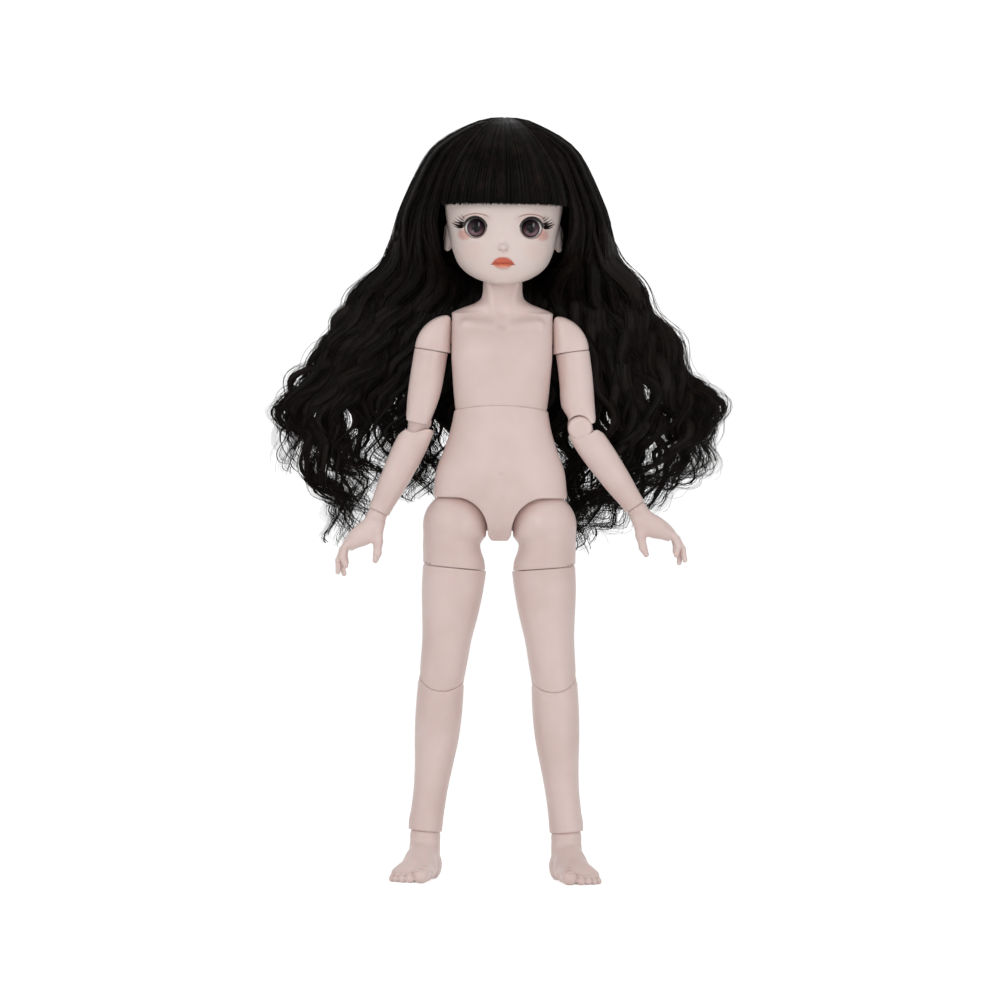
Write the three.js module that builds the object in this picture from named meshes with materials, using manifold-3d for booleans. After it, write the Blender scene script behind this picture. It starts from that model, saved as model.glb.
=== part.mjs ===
// Ball jointed doll with wig, standing upright. Millimetres, +Z up, the doll faces -Y.
import * as THREE from 'three';
import { mergeVertices } from 'three/addons/utils/BufferGeometryUtils.js';
import Module from 'manifold-3d';

const wasm = await Module();
wasm.setup();

// Fits shared by every joint
const gap = 0.3;
const overrun = 60;

// Leg lengths, from ankle ball to knee to hip ball
const ankleHeight = 17;
const shinLength = 63.5;
const thighLength = 59.4;
const hipSpread = 17.4;
const legSplay = THREE.MathUtils.degToRad(4.8);
const toeOut = THREE.MathUtils.degToRad(16);

// Leg girths
const hipBallRadius = 12.3;
const thighRadius = 12.5;
const thighDepth = 12.6;
const twistSeamDrop = 17;
const shinRadius = 9.2;
const shinDepth = 9.6;
const kneeBallRadius = 7;
const kneeBossRadius = 2.6;
const kneecapDrop = 6.3;
const kneeDepth = 9.3;
const kneeFlex = THREE.MathUtils.degToRad(95);
const kneeOpenShare = 0.52;
const ankleBallRadius = 6;
const ankleWidth = 6.7;
const ankleRimRise = 2;

// Foot
const heelReach = 12;
const toeReach = 27;
const footWidth = 17.5;
const footArchHeight = 12;
const toeRadius = 2.1;
const soleFlat = 0.9;

// Torso heights above the hip ball and above the waist pivot
const waistRise = 44.6;
const shoulderRise = 28.4;
const collarRise = 10;
const neckRise = 55;
const crotchDrop = 6.4;
const legOpeningRadius = 12.9;
const legOpeningRise = 10.5;
const legOpeningDrop = 3.3;

// Torso girths
const hipWidth = 26.2;
const hipDepth = 15.2;
const waistDepth = 13;
const shoulderWidth = 19.8;
const chestDepth = 14.6;
const waistDomeRadius = 11;
const waistPivotRise = 3.2;
const waistArch = 1.9;
const shellSplit = 0;

// Head
const headWidth = 23.4;
const headDepth = 27;
const headHeight = 61.9;
const chinDrop = 6;
const faceSplit = 3;
const headLead = 2.5;
const neckSocketRadius = 9.4;
const neckBallRadius = 7.2;
const eyeSpread = 10.8;
const eyeRise = 16.9;
const eyeRadius = 5.2;
const eyeDepth = 18.4;
const eyeOpenWidth = 4.4;
const eyeOpenHeight = 4.1;
const noseLength = 2.2;
const earRise = 15.5;
const earHeight = 5.4;
const earSpread = 22.7;
const earBack = 1.5;
const earRoom = 1;
const noseInset = 0.5;
const noseDrop = 7;

// Arm lengths
const upperArmLength = 28.3;
const elbowLinkLength = 7;
const forearmLength = 33.4;
const handLength = 28;
const armSplay = THREE.MathUtils.degToRad(8.6);
const leftElbowBend = THREE.MathUtils.degToRad(13.5);
const rightElbowBend = THREE.MathUtils.degToRad(8.3);

// Arm girths
const capRadius = 13.9;
const capDepth = 6.9;
const capCornerRadius = 2.4;
const armRadius = 6.6;
const elbowCheekDrop = 2.2;
const elbowLinkRadius = 3.9;
const elbowOpening = THREE.MathUtils.degToRad(50);
const forearmRadius = 6.3;
const wristBallRadius = 3.9;
const wristRimRise = 1.4;

// Hand
const palmWidth = 5.2;
const palmThickness = 2.9;
const palmLength = 14;
const fingerRadius = 1.25;
const thumbRadius = 1.6;
const thumbReach = 13.5;

// Pegs and pins: shaft radius, disc radius, disc thickness, pin radius
const bigPeg = { shaft: 2.4, disc: 4.2, thick: 5, pin: 1.2 };
const anklePeg = { shaft: 1.4, disc: 3, thick: 3, pin: 0.7 };
const wristPeg = { shaft: 0.9, disc: 1.9, thick: 2, pin: 0.5 };
const neckPeg = { shaft: 2, disc: 3.4, thick: 4.2, pin: 0.9 };
const capPeg = { shaft: 2.2, disc: 1.7, thick: 3, pin: 0.6 };
const capPegDrop = 6.6;
const elbowPinRadius = 0.8;
const twistStubRadius = 5;
const twistStubLength = 7;
const armStubRadius = 3;
const armStubLength = 4;

// Hair
const hairThickness = 5;
const fringeRise = 26.5;
const fringeWidth = 23;
const hairSheetThickness = 10;
const hairSheetBack = 17;
const hairTopDrop = 8;
const hairLobeWidth = 45.5;
const hairLobeDepth = 36;
const hairLobeTop = 46;
const hairLobeFront = 18;
const hairPartWidth = 27;
const hairLength = 120;
const hairWidth = 88;
const hairPartGap = 0.5;

// Colours of the materials
const skin = { color: 0xe6cdc4, roughness: 0.45, metalness: 0 };
const faceSkin = { color: 0xefdcd4, roughness: 0.5, metalness: 0 };
const hidden = { color: 0xd9b9ae, roughness: 0.5, metalness: 0 };
const steel = { color: 0xb8b8bc, roughness: 0.3, metalness: 1 };
const eyeGloss = { color: 0x5b4a66, roughness: 0.08, metalness: 0 };
const lashBlack = { color: 0x15100f, roughness: 0.6, metalness: 0 };
const hairBrown = { color: 0x231614, roughness: 0.35, metalness: 0 };

const roundSides = 16;
const smallSides = 10;
const tinySides = 6;
const headSides = 20;
const footSides = 12;
const chainSteps = 2;
const X = new THREE.Vector3(1, 0, 0);
const Y = new THREE.Vector3(0, 1, 0);
const Z = new THREE.Vector3(0, 0, 1);

// Turns a closed geometry into a solid
function solid(geometry) {
  const bare = geometry.clone();
  bare.deleteAttribute('normal');
  bare.deleteAttribute('uv');
  const welded = mergeVertices(bare, 1e-4);
  return new wasm.Manifold(new wasm.Mesh({
    numProp: 3,
    vertProperties: new Float32Array(welded.attributes.position.array),
    triVerts: new Uint32Array(welded.index.array),
  }));
}

// Turns a solid back into a named mesh
function piece(name, body, look) {
  const data = body.getMesh();
  const geometry = new THREE.BufferGeometry();
  geometry.setAttribute('position', new THREE.BufferAttribute(data.vertProperties, 3));
  geometry.setIndex(new THREE.BufferAttribute(data.triVerts, 1));
  geometry.computeVertexNormals();
  const mesh = new THREE.Mesh(geometry, new THREE.MeshStandardMaterial(look));
  mesh.name = name;
  return mesh;
}

// Straight rod centred on a point along an axis
function rod(radius, length, axis = Z, centre = [0, 0, 0], sides = smallSides) {
  const geometry = new THREE.CylinderGeometry(radius, radius, length, sides);
  geometry.applyQuaternion(new THREE.Quaternion().setFromUnitVectors(Y, axis));
  geometry.translate(...centre);
  return solid(geometry);
}

// Ball, stretched along each axis when three radii are given
function ball(radius, centre = [0, 0, 0], sides = roundSides, stretch = [1, 1, 1]) {
  const geometry = new THREE.SphereGeometry(radius, sides, sides / 2);
  geometry.rotateX(Math.PI / 2);
  geometry.scale(...stretch);
  geometry.translate(...centre);
  return solid(geometry);
}

// Block between two corners
function block(low, high) {
  const size = high.map((value, i) => value - low[i]);
  const geometry = new THREE.BoxGeometry(...size);
  geometry.translate(...high.map((value, i) => (value + low[i]) / 2));
  return solid(geometry);
}

// Flat outline in the YZ plane, carried along X about the centre
function sidePrism(points, width) {
  const shape = new THREE.Shape(points.map(([y, z]) => new THREE.Vector2(y, z)));
  const geometry = new THREE.ExtrudeGeometry(shape, { depth: width, bevelEnabled: false });
  geometry.translate(0, 0, -width / 2);
  geometry.rotateZ(Math.PI / 2);
  geometry.rotateY(Math.PI / 2);
  return solid(geometry);
}

// Flat outline in the XZ plane, carried along Y about the centre
function frontPrism(points, depth, centre = 0) {
  const shape = new THREE.Shape(points.map(([x, z]) => new THREE.Vector2(x, z)));
  const geometry = new THREE.ExtrudeGeometry(shape, { depth, bevelEnabled: false });
  geometry.translate(0, 0, -depth / 2);
  geometry.rotateX(Math.PI / 2);
  geometry.translate(0, centre, 0);
  return solid(geometry);
}

// Skin drawn over rounded sections, each [height, half width, half depth, x, y, squareness]
function loft(sections, sides = roundSides) {
  const positions = [];
  const index = [];
  for (const [height, width, depth, x = 0, y = 0, square = 1] of sections) {
    for (let i = 0; i < sides; i++) {
      const turn = (i / sides) * 2 * Math.PI;
      const c = Math.cos(turn);
      const s = Math.sin(turn);
      positions.push(
        x + width * Math.sign(c) * Math.abs(c) ** square,
        y + depth * Math.sign(s) * Math.abs(s) ** square,
        height,
      );
    }
  }
  const rows = sections.length;
  for (let row = 0; row + 1 < rows; row++) {
    for (let i = 0; i < sides; i++) {
      const a = row * sides + i;
      const b = row * sides + (i + 1) % sides;
      index.push(a, b, b + sides, a, b + sides, a + sides);
    }
  }
  for (const [row, up] of [[0, false], [rows - 1, true]]) {
    const [height, , , x = 0, y = 0] = sections[row];
    positions.push(x, y, height);
    const hub = positions.length / 3 - 1;
    for (let i = 0; i < sides; i++) {
      const a = row * sides + i;
      const b = row * sides + (i + 1) % sides;
      index.push(...(up ? [a, b, hub] : [b, a, hub]));
    }
  }
  const geometry = new THREE.BufferGeometry();
  geometry.setAttribute('position', new THREE.Float32BufferAttribute(positions, 3));
  geometry.setIndex(index);
  return solid(geometry);
}

// Sections listed bottom first from share rows [along, width, depth, x, y, squareness]
function shareLoft(rows, from, to, width, depth, sides = roundSides) {
  return loft(rows.map(([along, w, d, x = 0, y = 0, square = 1]) => [
    from + (to - from) * along, width * w, depth * d, width * x, depth * y, square,
  ]), sides);
}

// Same solid, turned and moved
function placed(body, { turn = [0, 0, 0], at = [0, 0, 0] } = {}) {
  const degrees = turn.map((value) => THREE.MathUtils.radToDeg(value));
  return body.rotate(degrees).translate(at);
}

// Peg with a shaft up Z and a drilled disc across X at the origin
function pegBody(peg, shaftLength) {
  const shaft = rod(peg.shaft, shaftLength, Z, [0, 0, shaftLength / 2]);
  const disc = rod(peg.disc, peg.thick, X);
  return shaft.add(disc).subtract(rod(peg.pin + gap, peg.thick + overrun, X));
}

// Room for the peg in a ball end: a flat pocket and the swing of the shaft
function pegRoom(peg, low, high, reach) {
  const thick = peg.thick + 2 * gap;
  const half = peg.shaft + gap;
  const pocket = rod(peg.disc + gap, thick, X);
  const points = [[0, 0]];
  const steps = 6;
  const side = Math.asin(half / reach);
  for (let i = 0; i <= steps; i++) {
    const angle = low - side + ((high - low + 2 * side) * i) / steps;
    points.push([-reach * Math.sin(angle), reach * Math.cos(angle)]);
  }
  const swing = sidePrism(points.reverse(), thick);
  const lean = (angle) => placed(
    block([-thick / 2, -half, 0], [thick / 2, half, reach]), { turn: [angle, 0, 0] });
  return pocket.add(swing).add(lean(low)).add(lean(high));
}

// Hole for a pin across X, and the pin that fills it
function pinHole(peg, length) {
  return rod(peg.pin + gap, length + 2 * gap, X);
}

function pinBody(peg, length) {
  return rod(peg.pin, length, X);
}

// Upper thigh: the hip ball and the stub bore, in the leg frame
const hipSwingLow = THREE.MathUtils.degToRad(-50);
const hipSwingHigh = THREE.MathUtils.degToRad(8);
const hipPinLength = 19;
const thighTopShares = [[0, 1, 1], [0.3, 1, 1], [0.62, 0.985, 0.985], [1, 0.97, 0.97]];

function thighTop() {
  const tube = shareLoft(thighTopShares, -twistSeamDrop + gap / 2, 0, thighRadius, thighDepth);
  const room = placed(pegRoom(bigPeg, hipSwingLow, hipSwingHigh, hipBallRadius + overrun),
    { turn: [0, 0, -Math.PI / 2] });
  const inward = placed(room, { turn: [0, -Math.PI / 2, 0] });
  const bore = rod(twistStubRadius + gap, 2 * (twistStubLength + gap), Z,
    [0, 0, -twistSeamDrop]);
  return ball(hipBallRadius).add(tube)
    .subtract(inward)
    .subtract(placed(pinHole(bigPeg, hipPinLength), { turn: [0, 0, Math.PI / 2] }))
    .subtract(bore);
}

// Side views of the knee faces, each seen from the outside with the front at -Y
const kneeBack = kneeFlex * kneeOpenShare;
const shinBack = kneeFlex - kneeBack + THREE.MathUtils.degToRad(2);

function kneeUpperKeep() {
  const front = overrun * kneecapDrop / kneeDepth;
  const cheeks = sidePrism([
    [-overrun, -front], [0, 0], [overrun * Math.cos(kneeBack), overrun * Math.sin(kneeBack)],
    [overrun, overrun * 2], [-overrun, overrun * 2],
  ], overrun);
  return cheeks.add(rod(kneeBossRadius, overrun, X));
}

function kneeLowerKeep() {
  const front = overrun * kneecapDrop / kneeDepth;
  const drop = gap * Math.hypot(kneecapDrop, kneeDepth) / kneeDepth;
  const below = sidePrism([
    [-overrun, -overrun * 3], [overrun, -overrun * 3],
    [overrun * Math.cos(shinBack), -overrun * Math.sin(shinBack) - drop],
    [0, -drop], [-overrun, -front - drop],
  ], overrun);
  return below.subtract(rod(kneeBossRadius + gap, overrun * 2, X));
}

// Lower thigh: from the twist seam to the kneecap
const thighShares = [
  [0, 0.715, 0.74, 0.02], [0.18, 0.72, 0.75, 0.03], [0.4, 0.76, 0.8, 0.05],
  [0.62, 0.84, 0.88, 0.06], [0.82, 0.94, 0.96, 0.04], [1, 0.995, 1, 0],
];

function thigh() {
  const body = shareLoft(thighShares, -thighLength - kneeDepth, -twistSeamDrop - gap / 2,
    thighRadius, thighDepth);
  const knee = [0, 0, -thighLength];
  const stub = rod(twistStubRadius, twistStubLength + gap, Z,
    [0, 0, -twistSeamDrop + (twistStubLength - gap) / 2]);
  return body.intersect(placed(kneeUpperKeep(), { at: knee }))
    .subtract(ball(kneeBallRadius + gap, knee))
    .subtract(rod(kneePinRadius + gap, 2 * kneePinReach + 2 * gap, X, knee))
    .add(stub);
}

// Shin: the knee ball, calf and ankle cup, in the leg frame below the knee
const kneePinRadius = 1;
const kneePinReach = 8;
const shinShares = [
  [0, 0.72, 0.74, 0, 0], [0.1, 0.715, 0.75, 0, 0.02], [0.28, 0.735, 0.82, 0.08, 0.06],
  [0.5, 0.9, 0.98, 0.13, 0.1], [0.7, 0.985, 1.02, 0.12, 0.08], [0.86, 0.99, 0.99, 0.05, 0.03],
  [1, 0.96, 0.96, 0, 0],
];

function shin() {
  const body = shareLoft(shinShares, -shinLength + ankleRimRise, 0, shinRadius, shinDepth);
  return body.intersect(kneeLowerKeep())
    .add(ball(kneeBallRadius))
    .subtract(rod(kneePinRadius + gap, overrun, X))
    .subtract(ball(ankleBallRadius + gap, [0, 0, -shinLength]))
    .subtract(rod(anklePeg.shaft + gap, 2 * (anklePegLength + gap), Z, [0, 0, -shinLength]));
}

// Foot: ankle ball in the ankle frame, foot flesh levelled with the floor
const anklePegLength = 15;
const anklePinLength = 9;
const ankleSwing = THREE.MathUtils.degToRad(42);
const footShares = [
  [0, 0.02, 0.62, 0.5], [0.05, 0.3, 0.66, 0.55], [0.2, 0.4, 0.72, 0.95], [0.36, 0.42, 0.66, 1],
  [0.55, 0.43, 0.5, 0.8], [0.74, 0.47, 0.36, 0.56], [0.86, 0.45, 0.28, 0.42],
  [0.93, 0.4, 0.22, 0.34],
];
const ankleShares = [
  [0, 0.94, 1.43], [0.42, 1.02, 1.1, 0, -0.1], [0.83, 0.86, 0.9], [1, 0.6, 0.6],
];
const softSquare = 0.8;
const toeInsetShare = 1.4;
const toeStretchShare = 1.7;
const toeShares = [
  [-0.36, 1, 1.5], [-0.14, 0.99, 1.12], [0.04, 0.95, 1.02], [0.2, 0.89, 0.94], [0.34, 0.82, 0.86],
];

function foot(level) {
  const reach = heelReach + toeReach;
  const rows = footShares.map(([along, width, , tall]) => {
    const half = footArchHeight * tall / 2;
    return [heelReach - reach * along, footWidth * width, half + soleFlat];
  });
  const flesh = loft(rows.map(([along, width, half]) => [
    along, width, half, 0, half - soleFlat, softSquare,
  ]).reverse(), footSides);
  let body = placed(flesh, { turn: [-Math.PI / 2, 0, 0] }).mirror([0, 0, 1]);
  body = placed(body, { at: [0, 0, -ankleHeight] });
  for (const [side, along, size] of toeShares) {
    const radius = toeRadius * size;
    body = body.add(ball(radius, [
      footWidth * side, toeInsetShare * radius - toeReach * along, radius - ankleHeight - soleFlat,
    ], tinySides, [1, toeStretchShare, 1]));
  }
  const column = shareLoft(ankleShares, soleFlat - ankleHeight, 0, ankleWidth, ankleWidth, footSides);
  body = body.add(column).trimByPlane([0, 0, 1], -ankleHeight);
  return turned(body, level).add(ball(ankleBallRadius))
    .subtract(pegRoom(anklePeg, -ankleSwing, ankleSwing, ankleBallRadius + overrun))
    .subtract(pinHole(anklePeg, anklePinLength));
}

// Same solid carried by a rotation matrix
function turned(body, rotation) {
  return body.transform(rotation.elements);
}

// Pelvis outer form, centred on the hip height
const pelvisShares = [
  [0, 0.55, 0.5, 0, 0.1], [0.1, 0.93, 0.86, 0, 0.08], [0.22, 1, 1, 0, 0.06],
  [0.33, 0.992, 1, 0, 0.04], [0.44, 0.955, 0.985, 0, 0.02], [0.55, 0.855, 0.95, 0, 0],
  [0.7, 0.745, 0.9, 0, 0], [0.86, 0.69, 0.87, 0, 0], [1, 0.687, 0.86, 0, 0],
];

// Half outline of the leg opening, seen from the front with the hip ball at the origin
function legOpening() {
  const points = [];
  const steps = 10;
  const height = legOpeningRise + legOpeningDrop;
  for (let i = 0; i <= steps; i++) {
    const angle = (Math.PI / 2) * (1 + i / steps);
    points.push([legOpeningRadius * Math.cos(angle), height * Math.sin(angle) - legOpeningDrop]);
  }
  return [
    [overrun, -overrun], [overrun, legOpeningRise], ...points,
    [-legOpeningRadius, -overrun],
  ];
}

// Room that the thigh sweeps as it swings from back to front, about the hip ball
const legSweepTurns = [-60, -30, 0, 20];
const legSweepLength = 40;

function legSweep() {
  const thigh = rod(thighRadius + gap, legSweepLength, Z, [0, 0, -legSweepLength / 2]);
  const leaning = placed(thigh, { turn: [0, -legSplay, 0] });
  return legSweepTurns
    .map((turn) => placed(leaning, { turn: [THREE.MathUtils.degToRad(turn), 0, 0] }))
    .reduce((room, next) => room.add(next));
}

const hipPegLength = hipSpread - 1;
const waistPinLength = 26;
const waistPost = { radius: 3, length: 14 };

function pelvis() {
  const outer = shareLoft(pelvisShares, -crotchDrop, waistRise + waistDepth, hipWidth, hipDepth);
  const seam = waistRise - gap / 2;
  let body = outer.trimByPlane([0, 0, -1], -seam)
    .subtract(rod(waistPost.radius + gap, 2 * (waistPost.length + gap), Z, [0, 0, waistRise]));
  for (const side of [1, -1]) {
    const centre = [side * hipSpread, 0, 0];
    const opening = placed(frontPrism(legOpening(), 2 * overrun).add(legSweep()), { at: [hipSpread, 0, 0] });
    body = body.subtract(side > 0 ? opening : opening.mirror([1, 0, 0]))
      .subtract(ball(hipBallRadius + 2 * gap, centre))
      .subtract(rod(bigPeg.shaft + gap, hipPegLength + gap, X,
        [side * (hipSpread - (hipPegLength + gap) / 2), 0, 0]));
  }
  return body;
}

// Waist ball: a dome that turns on the pelvis and carries the chest on its pin
function waistBall() {
  const pivot = [0, 0, waistPivotRise];
  return ball(waistDomeRadius, pivot).trimByPlane([0, 0, 1], gap / 2)
    .add(rod(waistPost.radius, waistPost.length + waistPivotRise, Z,
      [0, 0, (waistPivotRise - waistPost.length) / 2]))
    .subtract(rod(bigPeg.pin + gap, overrun, X, pivot));
}

// Chest outer form, centred on the waist pivot
const chestShares = [
  [0, 0.905, 0.89, 0, 0], [0.18, 0.945, 0.93, 0, 0], [0.38, 0.975, 0.98, 0, -0.02],
  [0.55, 1, 1, 0, -0.03], [0.69, 1, 0.95, 0, 0], [0.81, 1, 0.84, 0, 0.03], [0.91, 1, 0.7, 0, 0.05],
  [1, 1, 0.54, 0, 0.05],
];
const neckBaseShares = [[0, 1, 0.54], [0.06, 0.96, 0.54], [0.15, 0.79, 0.55], [0.25, 0.56, 0.55],
  [0.35, 0.44, 0.54], [0.48, 0.4, 0.53], [0.72, 0.388, 0.53], [1, 0.36, 0.5]];

function chest() {
  const shoulderTop = shoulderRise + collarRise;
  const outer = shareLoft(chestShares, 0, shoulderTop, shoulderWidth, chestDepth)
    .add(shareLoft(neckBaseShares, shoulderTop - gap, neckRise, shoulderWidth, chestDepth));
  const rise = overrun * waistArch / waistDepth;
  const lower = sidePrism([
    [-overrun, rise + gap / 2], [0, gap / 2], [overrun, rise + gap / 2],
    [overrun, 2 * overrun], [-overrun, 2 * overrun],
  ], 2 * overrun);
  let body = outer.intersect(lower)
    .subtract(ball(waistDomeRadius + gap, [0, 0, waistPivotRise]))
    .subtract(rod(bigPeg.pin + gap, waistPinLength + 2 * gap, X, [0, 0, waistPivotRise]))
    .add(ball(neckBallRadius, [0, 0, neckRise]))
    .subtract(placed(neckRoom(), { at: [0, 0, neckRise] }));
  const shaftBore = shoulderWidth - capShaftLength;
  for (const side of [1, -1]) {
    body = body.subtract(rod(capPeg.shaft + gap, capShaftLength + overrun, X,
      [side * (shaftBore - gap + (capShaftLength + overrun) / 2), 0, shoulderRise]));
  }
  return body;
}

// Neck joint: a cross on a pin in the neck, and a post up into the head
const neckBarrelLength = 5;
const neckPinLength = 11;
const neckPostLength = 16;
const neckNod = THREE.MathUtils.degToRad(15);

function neckRoom() {
  const reach = neckBallRadius + overrun;
  const room = pegRoom({ ...neckPeg, thick: neckBarrelLength }, -neckNod, neckNod, reach);
  return room.add(rod(neckPeg.pin + gap, neckPinLength + 2 * gap, X));
}

// Shoulder cap: a quarter ball with a flat inner face, in the shoulder frame
const capShaftLength = 12;
const capFaceX = shoulderWidth + gap;
const capHingeX = capFaceX + capCornerRadius - gap / 2;
const armOffset = 1.3;
const armAxisX = shoulderWidth + armRadius + armOffset;
const capSteps = 8;
const capTurnShare = 0.93;
const capWidthShare = 1.02;
const capDepthTurnShare = 0.94;
const capRounding = 0.62;
const capTopSquare = 0.72;
const capLowSquare = 0.85;

function shoulderCap() {
  const sections = [];
  for (let i = 0; i <= capSteps; i++) {
    const angle = (i / capSteps) * Math.PI / 2 * capTurnShare;
    const outer = capRadius * Math.cos(angle) * capWidthShare;
    const half = outer / 2;
    const depth = capDepth * Math.cos(angle * capDepthTurnShare) ** capRounding;
    sections.push([capRadius * Math.sin(angle), half, depth, capFaceX + half, 0, capTopSquare]);
  }
  const [, lowHalf, lowDepth, lowX] = sections[0];
  sections.unshift([-armRadius, lowHalf, lowDepth, lowX, 0, capLowSquare]);
  const keep = placed(block([-overrun, -overrun, gap / 2], [overrun, overrun, overrun]),
    { turn: [0, -armSplay, 0], at: [armAxisX, 0, 0] });
  const hinge = [capHingeX, 0, capHingeRise()];
  const corner = block([capFaceX - capCornerRadius, -overrun, hinge[2]],
    [hinge[0], overrun, hinge[2] + overrun]).subtract(rod(capCornerRadius, 2 * overrun, Y, hinge));
  const slotHalf = capPeg.thick / 2 + gap;
  const slot = block([capFaceX - capCornerRadius, -slotHalf, hinge[2] - capPegDrop - capPeg.shaft - gap],
    [hinge[0] + capPeg.disc + gap, slotHalf, hinge[2]])
    .add(rod(capPeg.disc + gap, 2 * slotHalf, Y, hinge))
    .add(block([capFaceX - capCornerRadius, -slotHalf, hinge[2] - gap],
      [hinge[0], slotHalf, hinge[2] + overrun]));
  const bore = placed(rod(armStubRadius + gap, 2 * (armStubLength + gap), Z),
    { turn: [0, -armSplay, 0], at: [armAxisX, 0, 0] });
  return loft(sections).intersect(keep)
    .subtract(corner)
    .subtract(slot)
    .subtract(rod(capPeg.pin + gap, capPinLength + 2 * gap, Y, hinge))
    .subtract(bore);
}

const capPinLength = 8;

// Height of the cap hinge above the arm seam
function capHingeRise() {
  return capRadius - capCornerRadius;
}

function shoulderPeg() {
  const hinge = [capHingeX, 0, capHingeRise()];
  const half = capPeg.thick / 2;
  const shaftZ = hinge[2] - capPegDrop;
  const shaft = rod(capPeg.shaft, capShaftLength, X,
    [capFaceX - gap / 4 - capShaftLength / 2, 0, shaftZ]);
  const plate = block([shoulderWidth, -half, shaftZ - capPeg.shaft + gap],
    [hinge[0] + capPeg.disc - gap, half, hinge[2]]);
  return shaft.add(plate).add(rod(capPeg.disc, capPeg.thick, Y, hinge))
    .subtract(rod(capPeg.pin + gap, overrun, Y, hinge));
}

// Upper arm: stub, barrel and the two elbow cheeks, in the arm frame below the seam
const upperArmShares = [
  [0, 0.78, 0.8], [0.12, 0.79, 0.86], [0.24, 0.84, 0.93], [0.42, 0.96, 0.98], [0.7, 1, 1], [1, 1, 1],
];
const elbowPinLength = 11;

// Space between the cheeks of an elbow end, with the link pivot at the origin
function elbowRoom() {
  const half = elbowLinkRadius + gap;
  const slab = block([-overrun, -half, -overrun], [overrun, half, 0]);
  return rod(half, 2 * half, Y, [0, 0, 0], roundSides)
    .add(slab)
    .add(placed(block([-half, -half, -overrun], [half, half, 0]), { turn: [0, -elbowOpening, 0] }))
    .add(rod(elbowPinRadius + gap, elbowPinLength + 2 * gap, Y));
}

// What is cut away below an elbow end so that the arm can fold outward
function elbowRelief() {
  const rise = overrun * Math.tan(elbowOpening);
  return frontPrism([
    [-overrun, -elbowCheekDrop], [-overrun, -2 * overrun], [overrun, -2 * overrun],
    [elbowCheekDrop + overrun, rise - elbowCheekDrop], [elbowCheekDrop, -elbowCheekDrop],
  ], 2 * overrun);
}

function upperArm() {
  const elbow = [0, 0, -upperArmLength];
  const body = shareLoft(upperArmShares, -upperArmLength - elbowCheekDrop - gap, -gap / 2,
    armRadius, armRadius);
  return body.subtract(placed(elbowRelief(), { at: elbow }))
    .subtract(placed(elbowRoom(), { at: elbow }))
    .add(rod(armStubRadius, armStubLength + gap, Z, [0, 0, (armStubLength - gap) / 2]));
}

// Elbow link between its two pivots
function elbowLink() {
  const half = elbowLinkRadius;
  const far = [0, 0, -elbowLinkLength];
  return rod(half, 2 * half, Y, [0, 0, 0], roundSides)
    .add(rod(half, 2 * half, Y, far, roundSides))
    .add(block([-half, -half, -elbowLinkLength], [half, half, 0]))
    .subtract(rod(elbowPinRadius + gap, overrun, Y))
    .subtract(rod(elbowPinRadius + gap, overrun, Y, far));
}

// Forearm, in the frame of its own elbow pivot
const forearmShares = [
  [0, 0.68, 0.68], [0.12, 0.72, 0.72], [0.3, 0.84, 0.84], [0.5, 0.93, 0.93], [0.72, 1, 0.98],
  [0.9, 1, 0.98], [1, 0.96, 0.96],
];
const wristPegLength = 9;
const wristPinLength = 5.6;
const wristSwing = THREE.MathUtils.degToRad(42);

function forearm() {
  const wrist = [0, 0, -forearmLength];
  const body = shareLoft(forearmShares, -forearmLength + wristRimRise, elbowCheekDrop,
    forearmRadius, forearmRadius);
  const relief = elbowRelief().mirror([0, 0, 1]);
  const room = elbowRoom().mirror([0, 0, 1]);
  return body.subtract(relief).subtract(room)
    .subtract(ball(wristBallRadius + gap, wrist))
    .subtract(rod(wristPeg.shaft + gap, 2 * (wristPegLength + gap), Z, wrist));
}

// Hand hanging from the wrist: palm facing back, thumb towards the body
const palmShares = [
  [0, 0.98, 0.72, 0.02], [0.3, 1, 0.86], [0.6, 0.92, 0.95], [0.85, 0.78, 1.05], [1, 0.7, 1.1],
];
const fingerShares = [
  [0.72, 0.84, 0.3], [0.26, 0.97, 0.1], [-0.22, 1, -0.06], [-0.68, 0.9, -0.28],
];
const fingerInsetShare = 0.7;
const knuckleCurlShare = 0.4;
const tipCurlShare = 1.6;
const thumbShares = [[-0.5, 0.1], [-1.35, 0.42], [-1.6, 0.74], [-1.5, 1]];

function chain(points, radius, sides = tinySides) {
  const curve = new THREE.CatmullRomCurve3(points.map((point) => new THREE.Vector3(...point)));
  const shape = new THREE.Shape();
  shape.absarc(0, 0, radius, 0, 2 * Math.PI);
  const geometry = new THREE.ExtrudeGeometry(shape, {
    steps: chainSteps, curveSegments: sides / 2, bevelEnabled: false, extrudePath: curve,
  });
  return solid(geometry).add(ball(radius, points[points.length - 1], sides));
}

function hand() {
  let body = shareLoft(palmShares, -palmLength - wristBallRadius, -wristBallRadius / 2,
    palmWidth, palmThickness);
  for (const [side, reach, spread] of fingerShares) {
    const x = side * (palmWidth - fingerRadius * fingerInsetShare);
    const root = -palmLength - wristBallRadius / 2;
    const tip = -handLength * reach;
    body = body.add(chain([
      [x, 0, root], [x + spread * fingerRadius, fingerRadius * knuckleCurlShare, (root + tip) / 2],
      [x + spread * fingerRadius * 2, fingerRadius * tipCurlShare, tip + fingerRadius],
    ], fingerRadius));
  }
  const thumb = thumbShares.map(([side, along]) => [
    side * palmWidth, thumbRadius * knuckleCurlShare,
    -wristBallRadius - (thumbReach - wristBallRadius) * along,
  ]);
  body = body.add(chain(thumb, thumbRadius)).add(ball(wristBallRadius, [0, 0, 0], roundSides));
  return body.subtract(pegRoom(wristPeg, -wristSwing, wristSwing, wristBallRadius + overrun))
    .subtract(pinHole(wristPeg, wristPinLength));
}

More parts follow.
